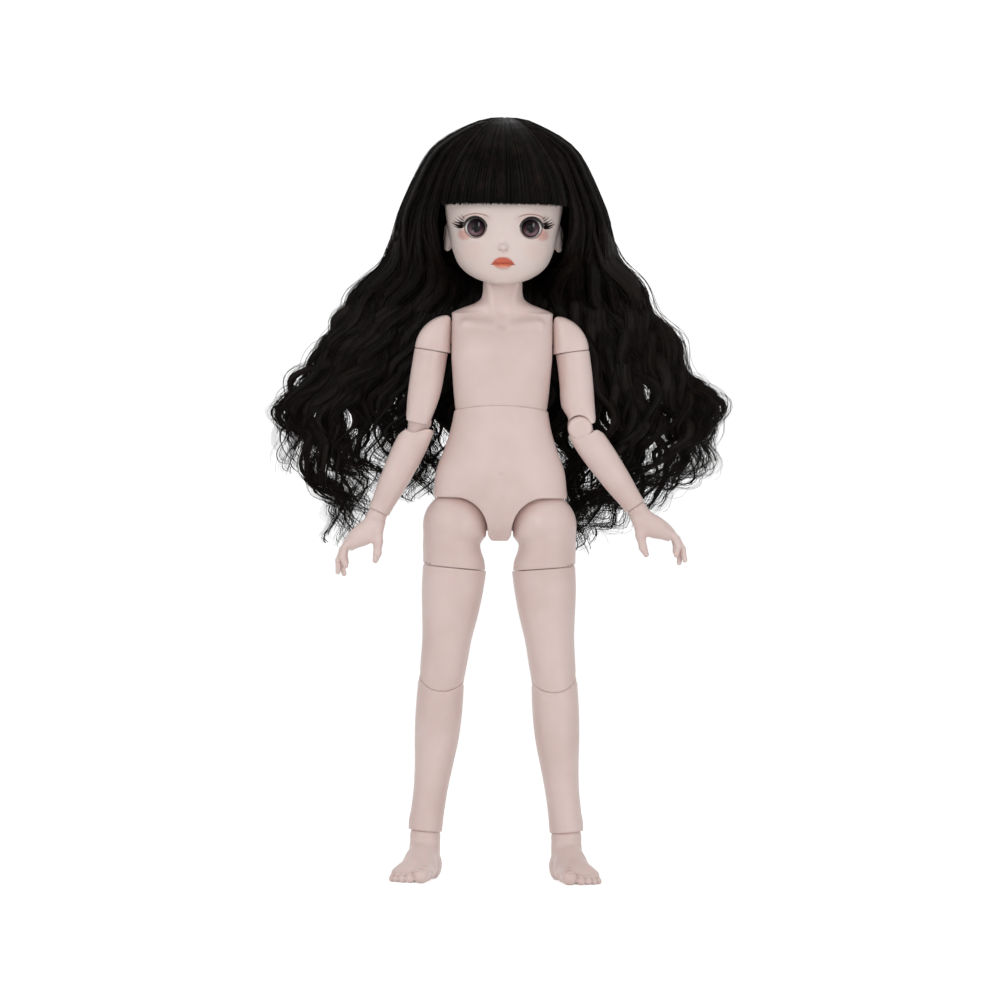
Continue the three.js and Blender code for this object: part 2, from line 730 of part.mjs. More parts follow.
// Head form, in the head frame with the neck pivot at the origin
const headShares = [
  [0, 0.06, 0.1, 0, -0.58], [0.008, 0.2, 0.24, 0, -0.5], [0.025, 0.35, 0.38, 0, -0.4],
  [0.06, 0.54, 0.58, 0, -0.25], [0.11, 0.705, 0.74, 0, -0.12], [0.2, 0.845, 0.86, 0, -0.03],
  [0.3, 0.905, 0.93, 0, 0], [0.42, 0.96, 0.98, 0, 0.03],
  [0.55, 1, 1, 0, 0.05], [0.68, 0.98, 0.99, 0, 0.06], [0.8, 0.88, 0.9, 0, 0.06],
  [0.9, 0.7, 0.72, 0, 0.06], [0.965, 0.45, 0.46, 0, 0.06], [1, 0.15, 0.15, 0, 0.06],
];

function headForm(grow = 0) {
  const rows = headShares.map(([along, w, d, x, y]) => [
    -chinDrop - grow + (headHeight + 2 * grow) * along,
    headWidth * w + grow, headDepth * d + grow, headWidth * x, headDepth * y - headLead,
  ]);
  return loft(rows, headSides);
}

const earStretchShares = [0.42, 0.7, 1];
const noseStretchShares = [0.8, 1, 1.5];

function ear(side, grow) {
  return ball(earHeight + grow, [side * earSpread, earBack, earRise], smallSides, earStretchShares);
}

function head() {
  const nose = ball(noseLength, [0, noseInset - headDepth, eyeRise - noseDrop],
    smallSides, noseStretchShares);
  let body = headForm().add(nose);
  for (const side of [1, -1]) {
    body = body.add(ear(side, 0));
    body = body.subtract(ball(eyeRadius + gap, [side * eyeSpread, -eyeDepth, eyeRise]))
      .subtract(eyeWindow(side));
  }
  const socket = ball(neckSocketRadius, [0, 0, 0]).add(loft([
    [-chinDrop * 2, neckSocketRadius + gap, neckSocketRadius + gap],
    [0, neckSocketRadius, neckSocketRadius],
  ]));
  const post = rod(neckPeg.shaft + gap, neckPostLength + gap, Z, [0, 0, (neckPostLength + gap) / 2]);
  return body.subtract(socket).subtract(post);
}

// Almond opening in front of an eye
function eyeWindow(side) {
  const depth = headDepth - eyeDepth;
  const geometry = new THREE.CylinderGeometry(eyeOpenWidth, eyeOpenWidth, depth, smallSides + tinySides);
  geometry.scale(1, 1, eyeOpenHeight / eyeOpenWidth);
  geometry.translate(side * eyeSpread, -eyeDepth - depth / 2, eyeRise);
  return solid(geometry);
}

// One eyeball, left whole
function eyeball(side) {
  return ball(eyeRadius, [side * eyeSpread, -eyeDepth, eyeRise], roundSides, [1, 1, 1]);
}

// Lash strip: a thin curved bar over the eye
const lashWidth = 6.2;
const lashHeight = 0.9;
const lashThickness = 0.7;
const lashTopShare = 0.92;
const lashDroopShare = 0.75;
const lashTaperShare = 0.4;

function lashes(side) {
  const steps = 8;
  const upper = [];
  const lower = [];
  for (let i = 0; i <= steps; i++) {
    const t = (i / steps) * 2 - 1;
    const x = t * lashWidth;
    const z = eyeRadius * (lashTopShare - lashDroopShare * t * t);
    upper.push([x, z + lashHeight * (1 - lashTaperShare * t * t)]);
    lower.push([x, z]);
  }
  const strip = frontPrism([...lower, ...upper.reverse()], overrun);
  const shell = headForm(gap + lashThickness).subtract(headForm(gap))
    .subtract(block([-overrun, -headLead, -overrun], [overrun, overrun, overrun * 2]));
  return placed(strip, { at: [side * eyeSpread, 0, eyeRise] }).intersect(shell);
}

// Hair cap with its fringe, open under the chin and over the face
function hairCap() {
  const outer = headForm(hairThickness);
  const inner = headForm(gap);
  const faceWindow = block([-fringeWidth, -overrun, -overrun], [fringeWidth, -headLead, fringeRise]);
  const neckWindow = block([-overrun, -overrun, -overrun], [overrun, overrun, hairTopDrop - chinDrop]);
  return outer.subtract(inner).subtract(faceWindow).subtract(neckWindow)
    .subtract(ear(1, earRoom)).subtract(ear(-1, earRoom));
}

// Outline of the loose hair seen from the front, as shares of its width and length
const hairOutlineShares = [
  [0.5, 0], [0.6, 0.06], [0.7, 0.14], [0.737, 0.225], [0.82, 0.305], [0.93, 0.39], [0.975, 0.47],
  [1, 0.55], [0.975, 0.632], [0.9, 0.714], [0.8, 0.8], [0.71, 0.88], [0.66, 0.96], [0.5, 1],
  [0.3, 0.9], [0.2, 0.7], [0, 0.66],
];

// Hair standing off both sides and the back of the head, as shares of height and width
const hairLobeShares = [
  [0, 1, 0.9], [0.18, 0.99, 0.95], [0.36, 0.95, 0.98], [0.6, 0.86, 0.98], [0.8, 0.76, 0.93],
  [1, 0.62, 0.84],
];

function hairLobes() {
  const bottom = hairTopDrop - chinDrop;
  const lobes = shareLoft(hairLobeShares, bottom, hairLobeTop, hairLobeWidth, hairLobeDepth, headSides);
  const front = block([-overrun * 2, -overrun, -overrun], [overrun * 2, -hairLobeFront, overrun]);
  const middle = block([-hairPartWidth, -overrun, -overrun], [hairPartWidth, 0, overrun]);
  return lobes.subtract(headForm(hairThickness + gap)).subtract(front).subtract(middle);
}

function looseHair() {
  const right = hairOutlineShares.map(([x, z]) => [x * hairWidth, -z * hairLength]);
  const left = right.slice(0, -1).map(([x, z]) => [-x, z]).reverse();
  const outline = frontPrism([...right, ...left].reverse(), hairSheetThickness,
    hairSheetBack + hairSheetThickness / 2);
  const sheet = placed(outline, { at: [0, 0, hairTopDrop - chinDrop + hairThickness] });
  return sheet.subtract(headForm(hairThickness + gap)).add(hairLobes());
}

function looseHairPart(low, high) {
  return mainBody(looseHair().intersect(block([low, -overrun, -overrun * 4], [high, overrun, overrun])));
}

// Largest of the separate bodies that a cut leaves
function mainBody(body) {
  return body.decompose().sort((a, b) => b.volume() - a.volume())[0];
}

// Splits a solid into its front and back shells with a seam of one gap
function shells(name, body, look, split = shellSplit) {
  const front = body.trimByPlane([0, -1, 0], -split + gap / 2);
  const back = body.trimByPlane([0, 1, 0], split + gap / 2);
  return [piece(`${name}_front`, front, look), piece(`${name}_back`, back, look)];
}

// Group at a place with a turn
function joint(name, at, turn = [0, 0, 0]) {
  const group = new THREE.Group();
  group.name = name;
  group.position.set(...at);
  group.rotation.set(...turn);
  return group;
}

function leg(side) {
  const hip = joint(`frame_hip_${side}`, [hipSpread, 0, 0]);
  const peg = placed(pegBody(bigPeg, hipPegLength), { turn: [0, -Math.PI / 2, 0] });
  hip.add(piece(`hip_peg_${side}`, placed(peg, { turn: [Math.PI / 2, 0, 0] }), hidden));
  const upper = joint(`frame_thigh_${side}`, [0, 0, 0], [0, -legSplay, 0]);
  const pin = placed(pinBody(bigPeg, hipPinLength), { turn: [0, 0, Math.PI / 2] });
  upper.add(piece(`hip_pin_${side}`, pin, steel));
  upper.add(piece(`upper_thigh_${side}`, thighTop(), skin));
  upper.add(piece(`lower_thigh_${side}`, thigh(), skin));
  const knee = joint(`frame_knee_${side}`, [0, 0, -thighLength]);
  knee.add(piece(`knee_pin_${side}`, rod(kneePinRadius, 2 * kneePinReach, X), steel));
  knee.add(piece(`shin_${side}`, shin(), skin));
  const ankle = joint(`frame_ankle_${side}`, [0, 0, -shinLength], [0, 0, toeOut]);
  ankle.add(piece(`ankle_peg_${side}`, pegBody(anklePeg, anklePegLength), hidden));
  ankle.add(piece(`ankle_pin_${side}`, pinBody(anklePeg, anklePinLength), steel));
  const level = new THREE.Matrix4().makeRotationZ(-toeOut)
    .multiply(new THREE.Matrix4().makeRotationY(legSplay))
    .multiply(new THREE.Matrix4().makeRotationZ(toeOut));
  ankle.add(piece(`foot_${side}`, foot(level), skin));
  knee.add(ankle);
  upper.add(knee);
  hip.add(upper);
  return hip;
}

function arm(side, elbowBend) {
  const shoulder = joint(`frame_shoulder_${side}`, [0, 0, shoulderRise - capHingeRise() + capPegDrop]);
  const hinge = [capHingeX, 0, capHingeRise()];
  shoulder.add(piece(`shoulder_peg_${side}`, shoulderPeg(), hidden));
  shoulder.add(piece(`shoulder_pin_${side}`, rod(capPeg.pin, capPinLength, Y, hinge), steel));
  shoulder.add(piece(`shoulder_cap_${side}`, shoulderCap(), skin));
  const upper = joint(`frame_arm_${side}`, [armAxisX, 0, 0], [0, -armSplay, 0]);
  upper.add(piece(`upper_arm_${side}`, upperArm(), skin));
  const elbow = joint(`frame_elbow_${side}`, [0, 0, -upperArmLength], [0, -elbowBend, 0]);
  elbow.add(piece(`upper_elbow_pin_${side}`, rod(elbowPinRadius, elbowPinLength, Y), steel));
  elbow.add(piece(`elbow_link_${side}`, elbowLink(), skin));
  const lower = joint(`frame_forearm_${side}`, [0, 0, -elbowLinkLength], [0, -elbowBend, 0]);
  lower.add(piece(`lower_elbow_pin_${side}`, rod(elbowPinRadius, elbowPinLength, Y), steel));
  lower.add(piece(`forearm_${side}`, forearm(), skin));
  const wrist = joint(`frame_wrist_${side}`, [0, 0, -forearmLength]);
  wrist.add(piece(`wrist_peg_${side}`, pegBody(wristPeg, wristPegLength), hidden));
  wrist.add(piece(`wrist_pin_${side}`, pinBody(wristPeg, wristPinLength), steel));
  wrist.add(piece(`hand_${side}`, hand(), skin));
  lower.add(wrist);
  elbow.add(lower);
  upper.add(elbow);
  shoulder.add(upper);
  return shoulder;
}

// Turns a group built for the left side into one for the right side
function mirrored(group) {
  const mirror = new THREE.Group();
  mirror.scale.x = -1;
  mirror.add(group);
  return mirror;
}

const doll = new THREE.Group();
doll.name = 'ball_jointed_doll';
const legHeight = (thighLength + shinLength) * Math.cos(legSplay);
const hips = joint('frame_hips', [0, 0, ankleHeight + legHeight]);
hips.add(...shells('pelvis', pelvis(), skin));
hips.add(leg('left'), mirrored(leg('right')));
doll.add(hips);

const waist = joint('frame_waist', [0, 0, waistRise]);
waist.add(piece('waist_ball', waistBall(), skin));
waist.add(piece('waist_pin', rod(bigPeg.pin, waistPinLength, X, [0, 0, waistPivotRise]), steel));
waist.add(...shells('chest', chest(), skin));
waist.add(arm('left', leftElbowBend), mirrored(arm('right', rightElbowBend)));
hips.add(waist);

const neck = joint('frame_neck', [0, 0, neckRise]);
const neckCross = pegBody({ ...neckPeg, thick: neckBarrelLength - gap }, neckPostLength);
neck.add(piece('neck_cross', neckCross, hidden));
neck.add(piece('neck_pin', rod(neckPeg.pin, neckPinLength, X), steel));
const skullForm = head();
neck.add(piece('face', skullForm.trimByPlane([0, -1, 0], -faceSplit + gap / 2), faceSkin));
neck.add(piece('skull', skullForm.trimByPlane([0, 1, 0], faceSplit + gap / 2), faceSkin));
for (const [side, name] of [[1, 'left'], [-1, 'right']]) {
  neck.add(piece(`eye_${name}`, eyeball(side), eyeGloss));
  neck.add(piece(`lashes_${name}`, lashes(side), lashBlack));
}
neck.add(piece('hair_cap', hairCap(), hairBrown));
const partEdge = hairPartWidth + hairPartGap / 2;
neck.add(piece('hair_back', looseHairPart(-hairPartWidth, hairPartWidth), hairBrown));
neck.add(piece('hair_left', looseHairPart(partEdge, overrun * 2), hairBrown));
neck.add(piece('hair_right', looseHairPart(-overrun * 2, -partEdge), hairBrown));
waist.add(neck);

export default doll;
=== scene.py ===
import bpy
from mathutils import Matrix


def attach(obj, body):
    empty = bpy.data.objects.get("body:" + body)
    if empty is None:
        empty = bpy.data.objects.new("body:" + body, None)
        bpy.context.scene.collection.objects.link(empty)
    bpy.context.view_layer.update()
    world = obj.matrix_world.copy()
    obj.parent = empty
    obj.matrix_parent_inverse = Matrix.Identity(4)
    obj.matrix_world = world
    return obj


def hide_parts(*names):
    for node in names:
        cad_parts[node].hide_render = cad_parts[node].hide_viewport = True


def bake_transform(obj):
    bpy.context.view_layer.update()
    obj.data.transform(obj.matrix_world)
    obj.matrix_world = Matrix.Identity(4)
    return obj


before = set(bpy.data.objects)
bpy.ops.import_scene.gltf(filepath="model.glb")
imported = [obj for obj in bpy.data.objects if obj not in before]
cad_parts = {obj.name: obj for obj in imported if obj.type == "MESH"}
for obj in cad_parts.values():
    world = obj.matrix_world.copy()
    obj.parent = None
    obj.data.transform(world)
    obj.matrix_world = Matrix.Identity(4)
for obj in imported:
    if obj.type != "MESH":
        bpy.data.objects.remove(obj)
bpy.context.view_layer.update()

import copy
from math import cos, hypot, pi, radians, sin, sqrt

import bpy
import numpy as np
from mathutils import Matrix, Vector

bl_info = {
    "name": "Ball jointed doll",
    "version": (1, 0, 0),
    "blender": (4, 5, 0),
    "location": "View3D > Sidebar > Doll",
    "description": "Dresses the jointed doll with moulded skin, painted face, glossy eyes and wavy hair",
    "category": "Object",
}

MM = 0.001
SKIN_RADIUS = (1.0, 0.45, 0.3)

# Sizes and angles, most of them shared with the solids; lengths in millimetres
GAP = 0.3
SEAM = 0.05
WAIST_SEAM = -0.06
ANKLE_HEIGHT = 17.0
SHIN_LENGTH = 63.5
THIGH_LENGTH = 59.4
HIP_SPREAD = 17.4
LEG_SPLAY = radians(4.8)
TOE_OUT = radians(16)
HIP_BALL = 12.3
THIGH_RADIUS = 12.5
THIGH_DEPTH = 12.6
TWIST_SEAM = 17.0
SHIN_RADIUS = 9.2
SHIN_DEPTH = 9.6
KNEE_BALL = 7.0
KNEE_BOSS = 2.6
KNEE_PIN = 1.3
KNEECAP_DROP = 6.3
KNEE_DEPTH = 9.3
KNEE_BACK = radians(95 * 0.52)
SHIN_BACK = radians(95 * 0.48 + 2)
ANKLE_BALL = 6.0
ANKLE_WIDTH = 6.7
ANKLE_RIM = 2.0
TOE = 27.0
WAIST_RISE = 44.6
SHOULDER_RISE = 28.4
COLLAR_RISE = 10.0
NECK_RISE = 55.0
CROTCH_DROP = 6.4
CROTCH_HALF = 5.0
OPENING_RADIUS = 12.9
OPENING_RISE = 10.5
OPENING_DROP = 3.3
HIP_WIDTH = 26.2
HIP_DEPTH = 15.2
WAIST_DEPTH = 13.0
WAIST_DOME = 11.0
WAIST_PIVOT = 3.2
WAIST_ARCH = 1.9
SHOULDER_WIDTH = 19.8
CHEST_DEPTH = 14.6
NECK_BALL = 7.2
HEAD_WIDTH = 23.4
HEAD_DEPTH = 27.0
HEAD_HEIGHT = 61.9
CHIN_DROP = 6.0
MOUTH_RISE = 1.8
HEAD_LEAD = 2.5
NECK_SOCKET = 9.4
EYE_SPREAD = 10.8
EYE_RISE = 15.8
EYE_RADIUS = 5.2
EYE_DEPTH = 18.4
IRIS_RADIUS = 3.45
LID_DROP = 0.35
LID_RISE = 0.25
UPPER_ARM = 28.3
ELBOW_LINK = 7.0
FOREARM = 33.4
HAND = 28.0
ARM_SPLAY = radians(8.6)
ELBOW_BEND = {"left": radians(13.5), "right": radians(8.3)}
CAP_RADIUS = 13.9
CAP_DEPTH = 6.9
CAP_CORNER = 2.4
CAP_LIFT = 6.6
CAP_ROUNDNESS = 2.7
ARM_RADIUS = 6.6
ARM_AXIS = SHOULDER_WIDTH + ARM_RADIUS + 1.3
ELBOW_CHEEK = 2.2
KNUCKLE = 4.65
KNUCKLE_DEPTH = 4.3
KNOB = (-1.5, -1.4)
ELBOW_OPENING = radians(50)
FOREARM_RADIUS = 6.3
WRIST_BALL = 3.9
WRIST_RIM = 1.4
HIP_HEIGHT = ANKLE_HEIGHT + (THIGH_LENGTH + SHIN_LENGTH) * cos(LEG_SPLAY)
WAIST_HEIGHT = HIP_HEIGHT + WAIST_RISE
NECK_HEIGHT = WAIST_HEIGHT + NECK_RISE
FAR = 80.0


class Grid:
    """Points on which a shape's distance field is worked out."""

    def __init__(self, low, high, cell):
        self.low = np.array(low, float)
        self.cell = cell
        counts = np.ceil((np.array(high) - self.low) / cell).astype(int) + 1
        axes = [(self.low[i] + cell * np.arange(counts[i])).astype(np.float32) for i in range(3)]
        self.x, self.y, self.z = np.meshgrid(*axes, indexing="ij")

    def from_height(self, height):
        """The same points, with their heights measured from another level."""
        other = copy.copy(self)
        other.z = self.z - height
        return other


def join(a, b, k):
    h = np.clip(0.5 + 0.5 * (b - a) / k, 0, 1)
    return b + (a - b) * h - k * h * (1 - h)


def trim(a, b, k):
    return -join(-a, -b, k)


def cut(a, b, k=0.35):
    return trim(a, -b, k)


def ellipsoid(g, centre, radii):
    dx, dy, dz = (g.x - centre[0]) / radii[0], (g.y - centre[1]) / radii[1], (g.z - centre[2]) / radii[2]
    k1 = np.sqrt(dx * dx + dy * dy + dz * dz) + 1e-6
    k2 = np.sqrt((dx / radii[0]) ** 2 + (dy / radii[1]) ** 2 + (dz / radii[2]) ** 2) + 1e-6
    return k1 * (k1 - 1) / k2


def ball(g, radius, centre=(0, 0, 0)):
    return np.sqrt((g.x - centre[0]) ** 2 + (g.y - centre[1]) ** 2 + (g.z - centre[2]) ** 2) - radius


def capsule(g, a, b, ra, rb):
    a, b = np.array(a, float), np.array(b, float)
    d = b - a
    t = ((g.x - a[0]) * d[0] + (g.y - a[1]) * d[1] + (g.z - a[2]) * d[2]) / (d @ d)
    t = np.clip(t, 0, 1)
    gone = np.sqrt((g.x - a[0] - t * d[0]) ** 2 + (g.y - a[1] - t * d[1]) ** 2
                   + (g.z - a[2] - t * d[2]) ** 2)
    return gone - (ra + (rb - ra) * t)


def chain(g, points, radii, blend):
    field = None
    for i in range(len(points) - 1):
        part = capsule(g, points[i], points[i + 1], radii[i], radii[i + 1])
        field = part if field is None else join(field, part, blend)
    return field


def rod_x(g, radius, z=0):
    return np.sqrt(g.y ** 2 + (g.z - z) ** 2) - radius


def rod_y(g, radius, x=0, z=0):
    return np.sqrt((g.x - x) ** 2 + (g.z - z) ** 2) - radius


def rod_z(g, radius):
    return np.sqrt(g.x ** 2 + g.y ** 2) - radius


def smooth_rows(rows, steps=12):
    """Passes a smooth curve through a table whose first column rises."""
    rows = np.array(rows, float)
    z = rows[:, 0]
    slopes = np.gradient(rows, z, axis=0)
    out = []
    for i in range(len(z) - 1):
        t = np.linspace(0, 1, steps, endpoint=False)[:, None]
        h = z[i + 1] - z[i]
        out.append((2 * t ** 3 - 3 * t ** 2 + 1) * rows[i] + (t ** 3 - 2 * t ** 2 + t) * h * slopes[i]
                   + (3 * t ** 2 - 2 * t ** 3) * rows[i + 1] + (t ** 3 - t ** 2) * h * slopes[i + 1])
    out.append(rows[-1:])
    return np.concatenate(out)


def loft(g, rows, x=None, y=None):
    """Field of a form drawn over sections [z, half width, half depth, x, y, roundness]."""
    full = [list(r) + [0, 0, 2.0][len(r) - 3:] for r in rows]
    table = smooth_rows(full)
    z = g.z
    a, b, cx, cy, p = (np.interp(z, table[:, 0], table[:, i]).astype(np.float32) for i in range(1, 6))
    dx = np.abs((g.x if x is None else x) - cx) / a
    dy = np.abs((g.y if y is None else y) - cy) / b
    q = (dx ** p + dy ** p + 1e-9) ** (1 / p)
    k2 = np.sqrt((dx / a) ** 2 + (dy / b) ** 2) + 1e-4
    k1 = np.sqrt(dx * dx + dy * dy) + 1e-4
    return q * (q - 1) / (k2 * q / k1)


def share_loft(g, shares, start, end, width, depth, roundness=2.0):
    rows = []
    for row in shares:
        along, w, d, x, y, p = (list(row) + [0, 0, roundness][len(row) - 3:])[:6]
        rows.append([start + (end - start) * along, width * w, depth * d, width * x, depth * y, p])
    field = loft(g, rows)
    field = np.maximum(field, start - g.z)
    return np.maximum(field, g.z - end)


EDGES = [((0, 0, 0), (1, 0, 0)), ((0, 1, 0), (1, 1, 0)), ((0, 0, 1), (1, 0, 1)), ((0, 1, 1), (1, 1, 1)),
         ((0, 0, 0), (0, 1, 0)), ((1, 0, 0), (1, 1, 0)), ((0, 0, 1), (0, 1, 1)), ((1, 0, 1), (1, 1, 1)),
         ((0, 0, 0), (0, 0, 1)), ((1, 0, 0), (1, 0, 1)), ((0, 1, 0), (0, 1, 1)), ((1, 1, 0), (1, 1, 1))]


def skin_of(field, g, smoothing=1):
    """Closed quad mesh on the zero level of a field: points and faces, by surface nets."""
    inside = field < 0
    shape = [n - 1 for n in field.shape]

    def corner(array, o):
        return array[o[0]:o[0] + shape[0], o[1]:o[1] + shape[1], o[2]:o[2] + shape[2]]

    count = sum(corner(inside, (i, j, k)).astype(np.int8) for i in (0, 1) for j in (0, 1) for k in (0, 1))
    active = (count > 0) & (count < 8)
    cells = np.argwhere(active)
    number = np.full(active.shape, -1, np.int64)
    number[active] = np.arange(len(cells))
    total = np.zeros((len(cells), 3))
    hits = np.zeros(len(cells))
    for a, b in EDGES:
        fa = corner(field, a)[active]
        fb = corner(field, b)[active]
        crossing = (fa < 0) != (fb < 0)
        t = np.where(crossing, fa / np.where(crossing, fa - fb, 1), 0)
        point = np.array(a) + t[:, None] * (np.array(b) - np.array(a))
        total += np.where(crossing[:, None], point, 0)
        hits += crossing
    points = (cells + total / hits[:, None]) * g.cell + g.low
    faces = []
    for axis in range(3):
        u, v = (axis + 1) % 3, (axis + 2) % 3
        low = [slice(None)] * 3
        high = [slice(None)] * 3
        low[axis], high[axis] = slice(0, -1), slice(1, None)
        first, second = inside[tuple(low)], inside[tuple(high)]
        crossing = first != second
        where = np.argwhere(crossing)
        keep = (where[:, u] > 0) & (where[:, v] > 0)
        keep &= (where[:, u] < field.shape[u] - 1) & (where[:, v] < field.shape[v] - 1)
        where = where[keep]
        quad = []
        for du, dv in ((-1, -1), (0, -1), (0, 0), (-1, 0)):
            cell = where.copy()
            cell[:, u] += du
            cell[:, v] += dv
            quad.append(number[cell[:, 0], cell[:, 1], cell[:, 2]])
        quad = np.stack(quad, 1)
        out = first[tuple(where.T)]
        quad[~out] = quad[~out][:, ::-1]
        faces.append(quad)
    faces = np.concatenate(faces)
    for _ in range(smoothing):
        points = relaxed(points, faces, 0.5)
    return points, faces


def relaxed(points, faces, amount):
    ends = np.concatenate([faces[:, [i, (i + 1) % 4]] for i in range(4)])
    total = np.zeros_like(points)
    count = np.zeros(len(points))
    for a, b in ((0, 1), (1, 0)):
        for axis in range(3):
            total[:, axis] += np.bincount(ends[:, a], points[ends[:, b], axis], len(points))
        count += np.bincount(ends[:, a], minlength=len(points))
    return points + amount * (total / np.maximum(count, 1)[:, None] - points)


def mesh_object(name, points, faces, material):
    """Object from points in metres and an array of equal faces."""
    mesh = bpy.data.meshes.new(name)
    size = faces.shape[1]
    mesh.vertices.add(len(points))
    mesh.vertices.foreach_set("co", np.asarray(points, np.float32).ravel())
    mesh.loops.add(faces.size)
    mesh.loops.foreach_set("vertex_index", np.asarray(faces, np.int32).ravel())
    mesh.polygons.add(len(faces))
    mesh.polygons.foreach_set("loop_start", np.arange(0, faces.size, size, dtype=np.int32))
    mesh.update(calc_edges=True)
    mesh.polygons.foreach_set("use_smooth", np.ones(len(faces), bool))
    mesh.materials.append(material)
    mesh.validate()
    obj = bpy.data.objects.new(name, mesh)
    bpy.context.scene.collection.objects.link(obj)
    return obj


def placed(points, faces, place, mirror=False):
    """Moves local millimetre points into the doll's frame in metres."""
    m = np.array(place)
    world = points @ m[:3, :3].T + m[:3, 3]
    if mirror:
        world = world * [-1, 1, 1]
        faces = faces[:, ::-1]
    return world * MM, faces


def piece(name, skin, place, material, body, nodes, mirror=False):
    points, faces = placed(skin[0], skin[1], place, mirror)
    obj = mesh_object(name, points, faces, material)
    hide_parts(*nodes)
    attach(obj, body)


# Places of the joint frames, as in the solids
def moved(x=0.0, y=0.0, z=0.0):
    return Matrix.Translation((x, y, z))


def turned(angle, axis):
    return Matrix.Rotation(angle, 4, axis)


def leg_places():
    thigh = moved(HIP_SPREAD, 0, HIP_HEIGHT) @ turned(-LEG_SPLAY, "Y")
    knee = thigh @ moved(0, 0, -THIGH_LENGTH)
    ankle = knee @ moved(0, 0, -SHIN_LENGTH) @ turned(TOE_OUT, "Z")
    return {"thigh": thigh, "knee": knee, "ankle": ankle}


def arm_places(side):
    bend = ELBOW_BEND[side]
    shoulder = moved(0, 0, WAIST_HEIGHT + SHOULDER_RISE - (CAP_RADIUS - CAP_CORNER) + CAP_LIFT)
    upper = shoulder @ moved(ARM_AXIS, 0, 0) @ turned(-ARM_SPLAY, "Y")
    link = upper @ moved(0, 0, -UPPER_ARM) @ turned(-bend, "Y")
    lower = link @ moved(0, 0, -ELBOW_LINK) @ turned(-bend, "Y")
    wrist = lower @ moved(0, 0, -FOREARM)
    return {"shoulder": shoulder, "upper": upper, "link": link, "lower": lower, "wrist": wrist}


# Shader maths on sockets
class Value:
    def __init__(self, shader, socket):
        self.shader = shader
        self.socket = socket

    def _math(self, operation, *others):
        return self.shader.node("ShaderNodeMath", {"operation": operation}, [self, *others])

    def __add__(self, other):
        return self._math("ADD", other)

    def __sub__(self, other):
        return self._math("SUBTRACT", other)

    def __mul__(self, other):
        return self._math("MULTIPLY", other)

    def __truediv__(self, other):
        return self._math("DIVIDE", other)

    def __pow__(self, other):
        return self._math("POWER", other)

    def __radd__(self, other):
        return self + other

    def __rmul__(self, other):
        return self * other

    def __rsub__(self, other):
        return self.shader.node("ShaderNodeMath", {"operation": "SUBTRACT"}, [other, self])

    def __neg__(self):
        return self * -1.0

    def absolute(self):
        return self._math("ABSOLUTE")

    def root(self):
        return self._math("SQRT")

    def low(self, other):
        return self._math("MINIMUM", other)

    def high(self, other):
        return self._math("MAXIMUM", other)

    def fade(self, start, end):
        return 1.0 - self.ramp(start, end)

    def ramp(self, start, end):
        return self.shader.node("ShaderNodeMapRange", {"interpolation_type": "SMOOTHSTEP"},
                                {"Value": self, "From Min": start, "From Max": end,
                                 "To Min": 0.0, "To Max": 1.0})


class Nodes:
    """One way to add nodes to a tree and to feed their sockets."""

    def __init__(self, tree):
        self.tree = tree

    def node(self, kind, settings=None, inputs=None, output=0):
        node = self.tree.nodes.new(kind)
        for key, value in (settings or {}).items():
            setattr(node, key, value)
        pairs = enumerate(inputs) if isinstance(inputs, list) else (inputs or {}).items()
        for key, value in pairs:
            self.feed(node.inputs[key], value)
        return Value(self, node.outputs[output])

    def feed(self, socket, value):
        if isinstance(value, Value):
            self.tree.links.new(value.socket, socket)
        elif isinstance(value, (tuple, list)) and len(value) == 3 and socket.type == "RGBA":
            socket.default_value = (*value, 1)
        else:
            socket.default_value = value

    def seen(self):
        """1 for what the camera, a reflection or a clear material shows."""
        path = self.tree.nodes.new("ShaderNodeLightPath")
        seen = Value(self, path.outputs["Is Camera Ray"])
        for ray in ("Is Glossy Ray", "Is Transmission Ray"):
            seen = seen.high(Value(self, path.outputs[ray]))
        return seen


class Shader(Nodes):
    """Material with a Principled surface whose sockets are set by name."""

    def __init__(self, name, **constants):
        self.material = bpy.data.materials.new(name)
        self.material.use_nodes = True
        super().__init__(self.material.node_tree)
        self.surface = self.tree.nodes["Principled BSDF"]
        for key, value in constants.items():
            self.surface.inputs[key.replace("_", " ")].default_value = value

    def set(self, **values):
        for key, value in values.items():
            self.feed(self.surface.inputs[key.replace("_", " ")], value)

    def place(self):
        spot = self.tree.nodes.new("ShaderNodeTexCoord")
        return Value(self, spot.outputs["Object"])

    def axes(self):
        parts = self.tree.nodes.new("ShaderNodeSeparateXYZ")
        self.tree.links.new(self.place().socket, parts.inputs[0])
        return [Value(self, parts.outputs[i]) * 1000.0 for i in range(3)]

    def noise(self, scale, detail=2.0):
        return self.node("ShaderNodeTexNoise", None,
                         {"Vector": self.place(), "Scale": scale, "Detail": detail})

    def mix(self, factor, first, second):
        mix = self.tree.nodes.new("ShaderNodeMix")
        mix.data_type = "RGBA"
        self.feed(mix.inputs[0], factor)
        self.feed(mix.inputs[6], first)
        self.feed(mix.inputs[7], second)
        return Value(self, mix.outputs[2])

    def bump(self, height, distance, strength=1.0):
        return self.node("ShaderNodeBump", None,
                         {"Strength": strength, "Distance": distance, "Height": height})


def skin_surface(shader, base, deep, warm):
    """Even moulded skin colour with a faint mottle and a fine satin grain."""
    broad = shader.noise(45.0).ramp(0.35, 0.75)
    fine = shader.noise(260.0, 3.0).ramp(0.3, 0.8)
    colour = shader.mix(broad * 0.55, base, deep)
    colour = shader.mix(fine * 0.12, colour, warm)
    shader.set(Roughness=shader.noise(600.0) * 0.08 + 0.32)
    shader.set(Normal=shader.bump(shader.noise(2600.0, 2.0), 0.00002, 0.35))
    return colour


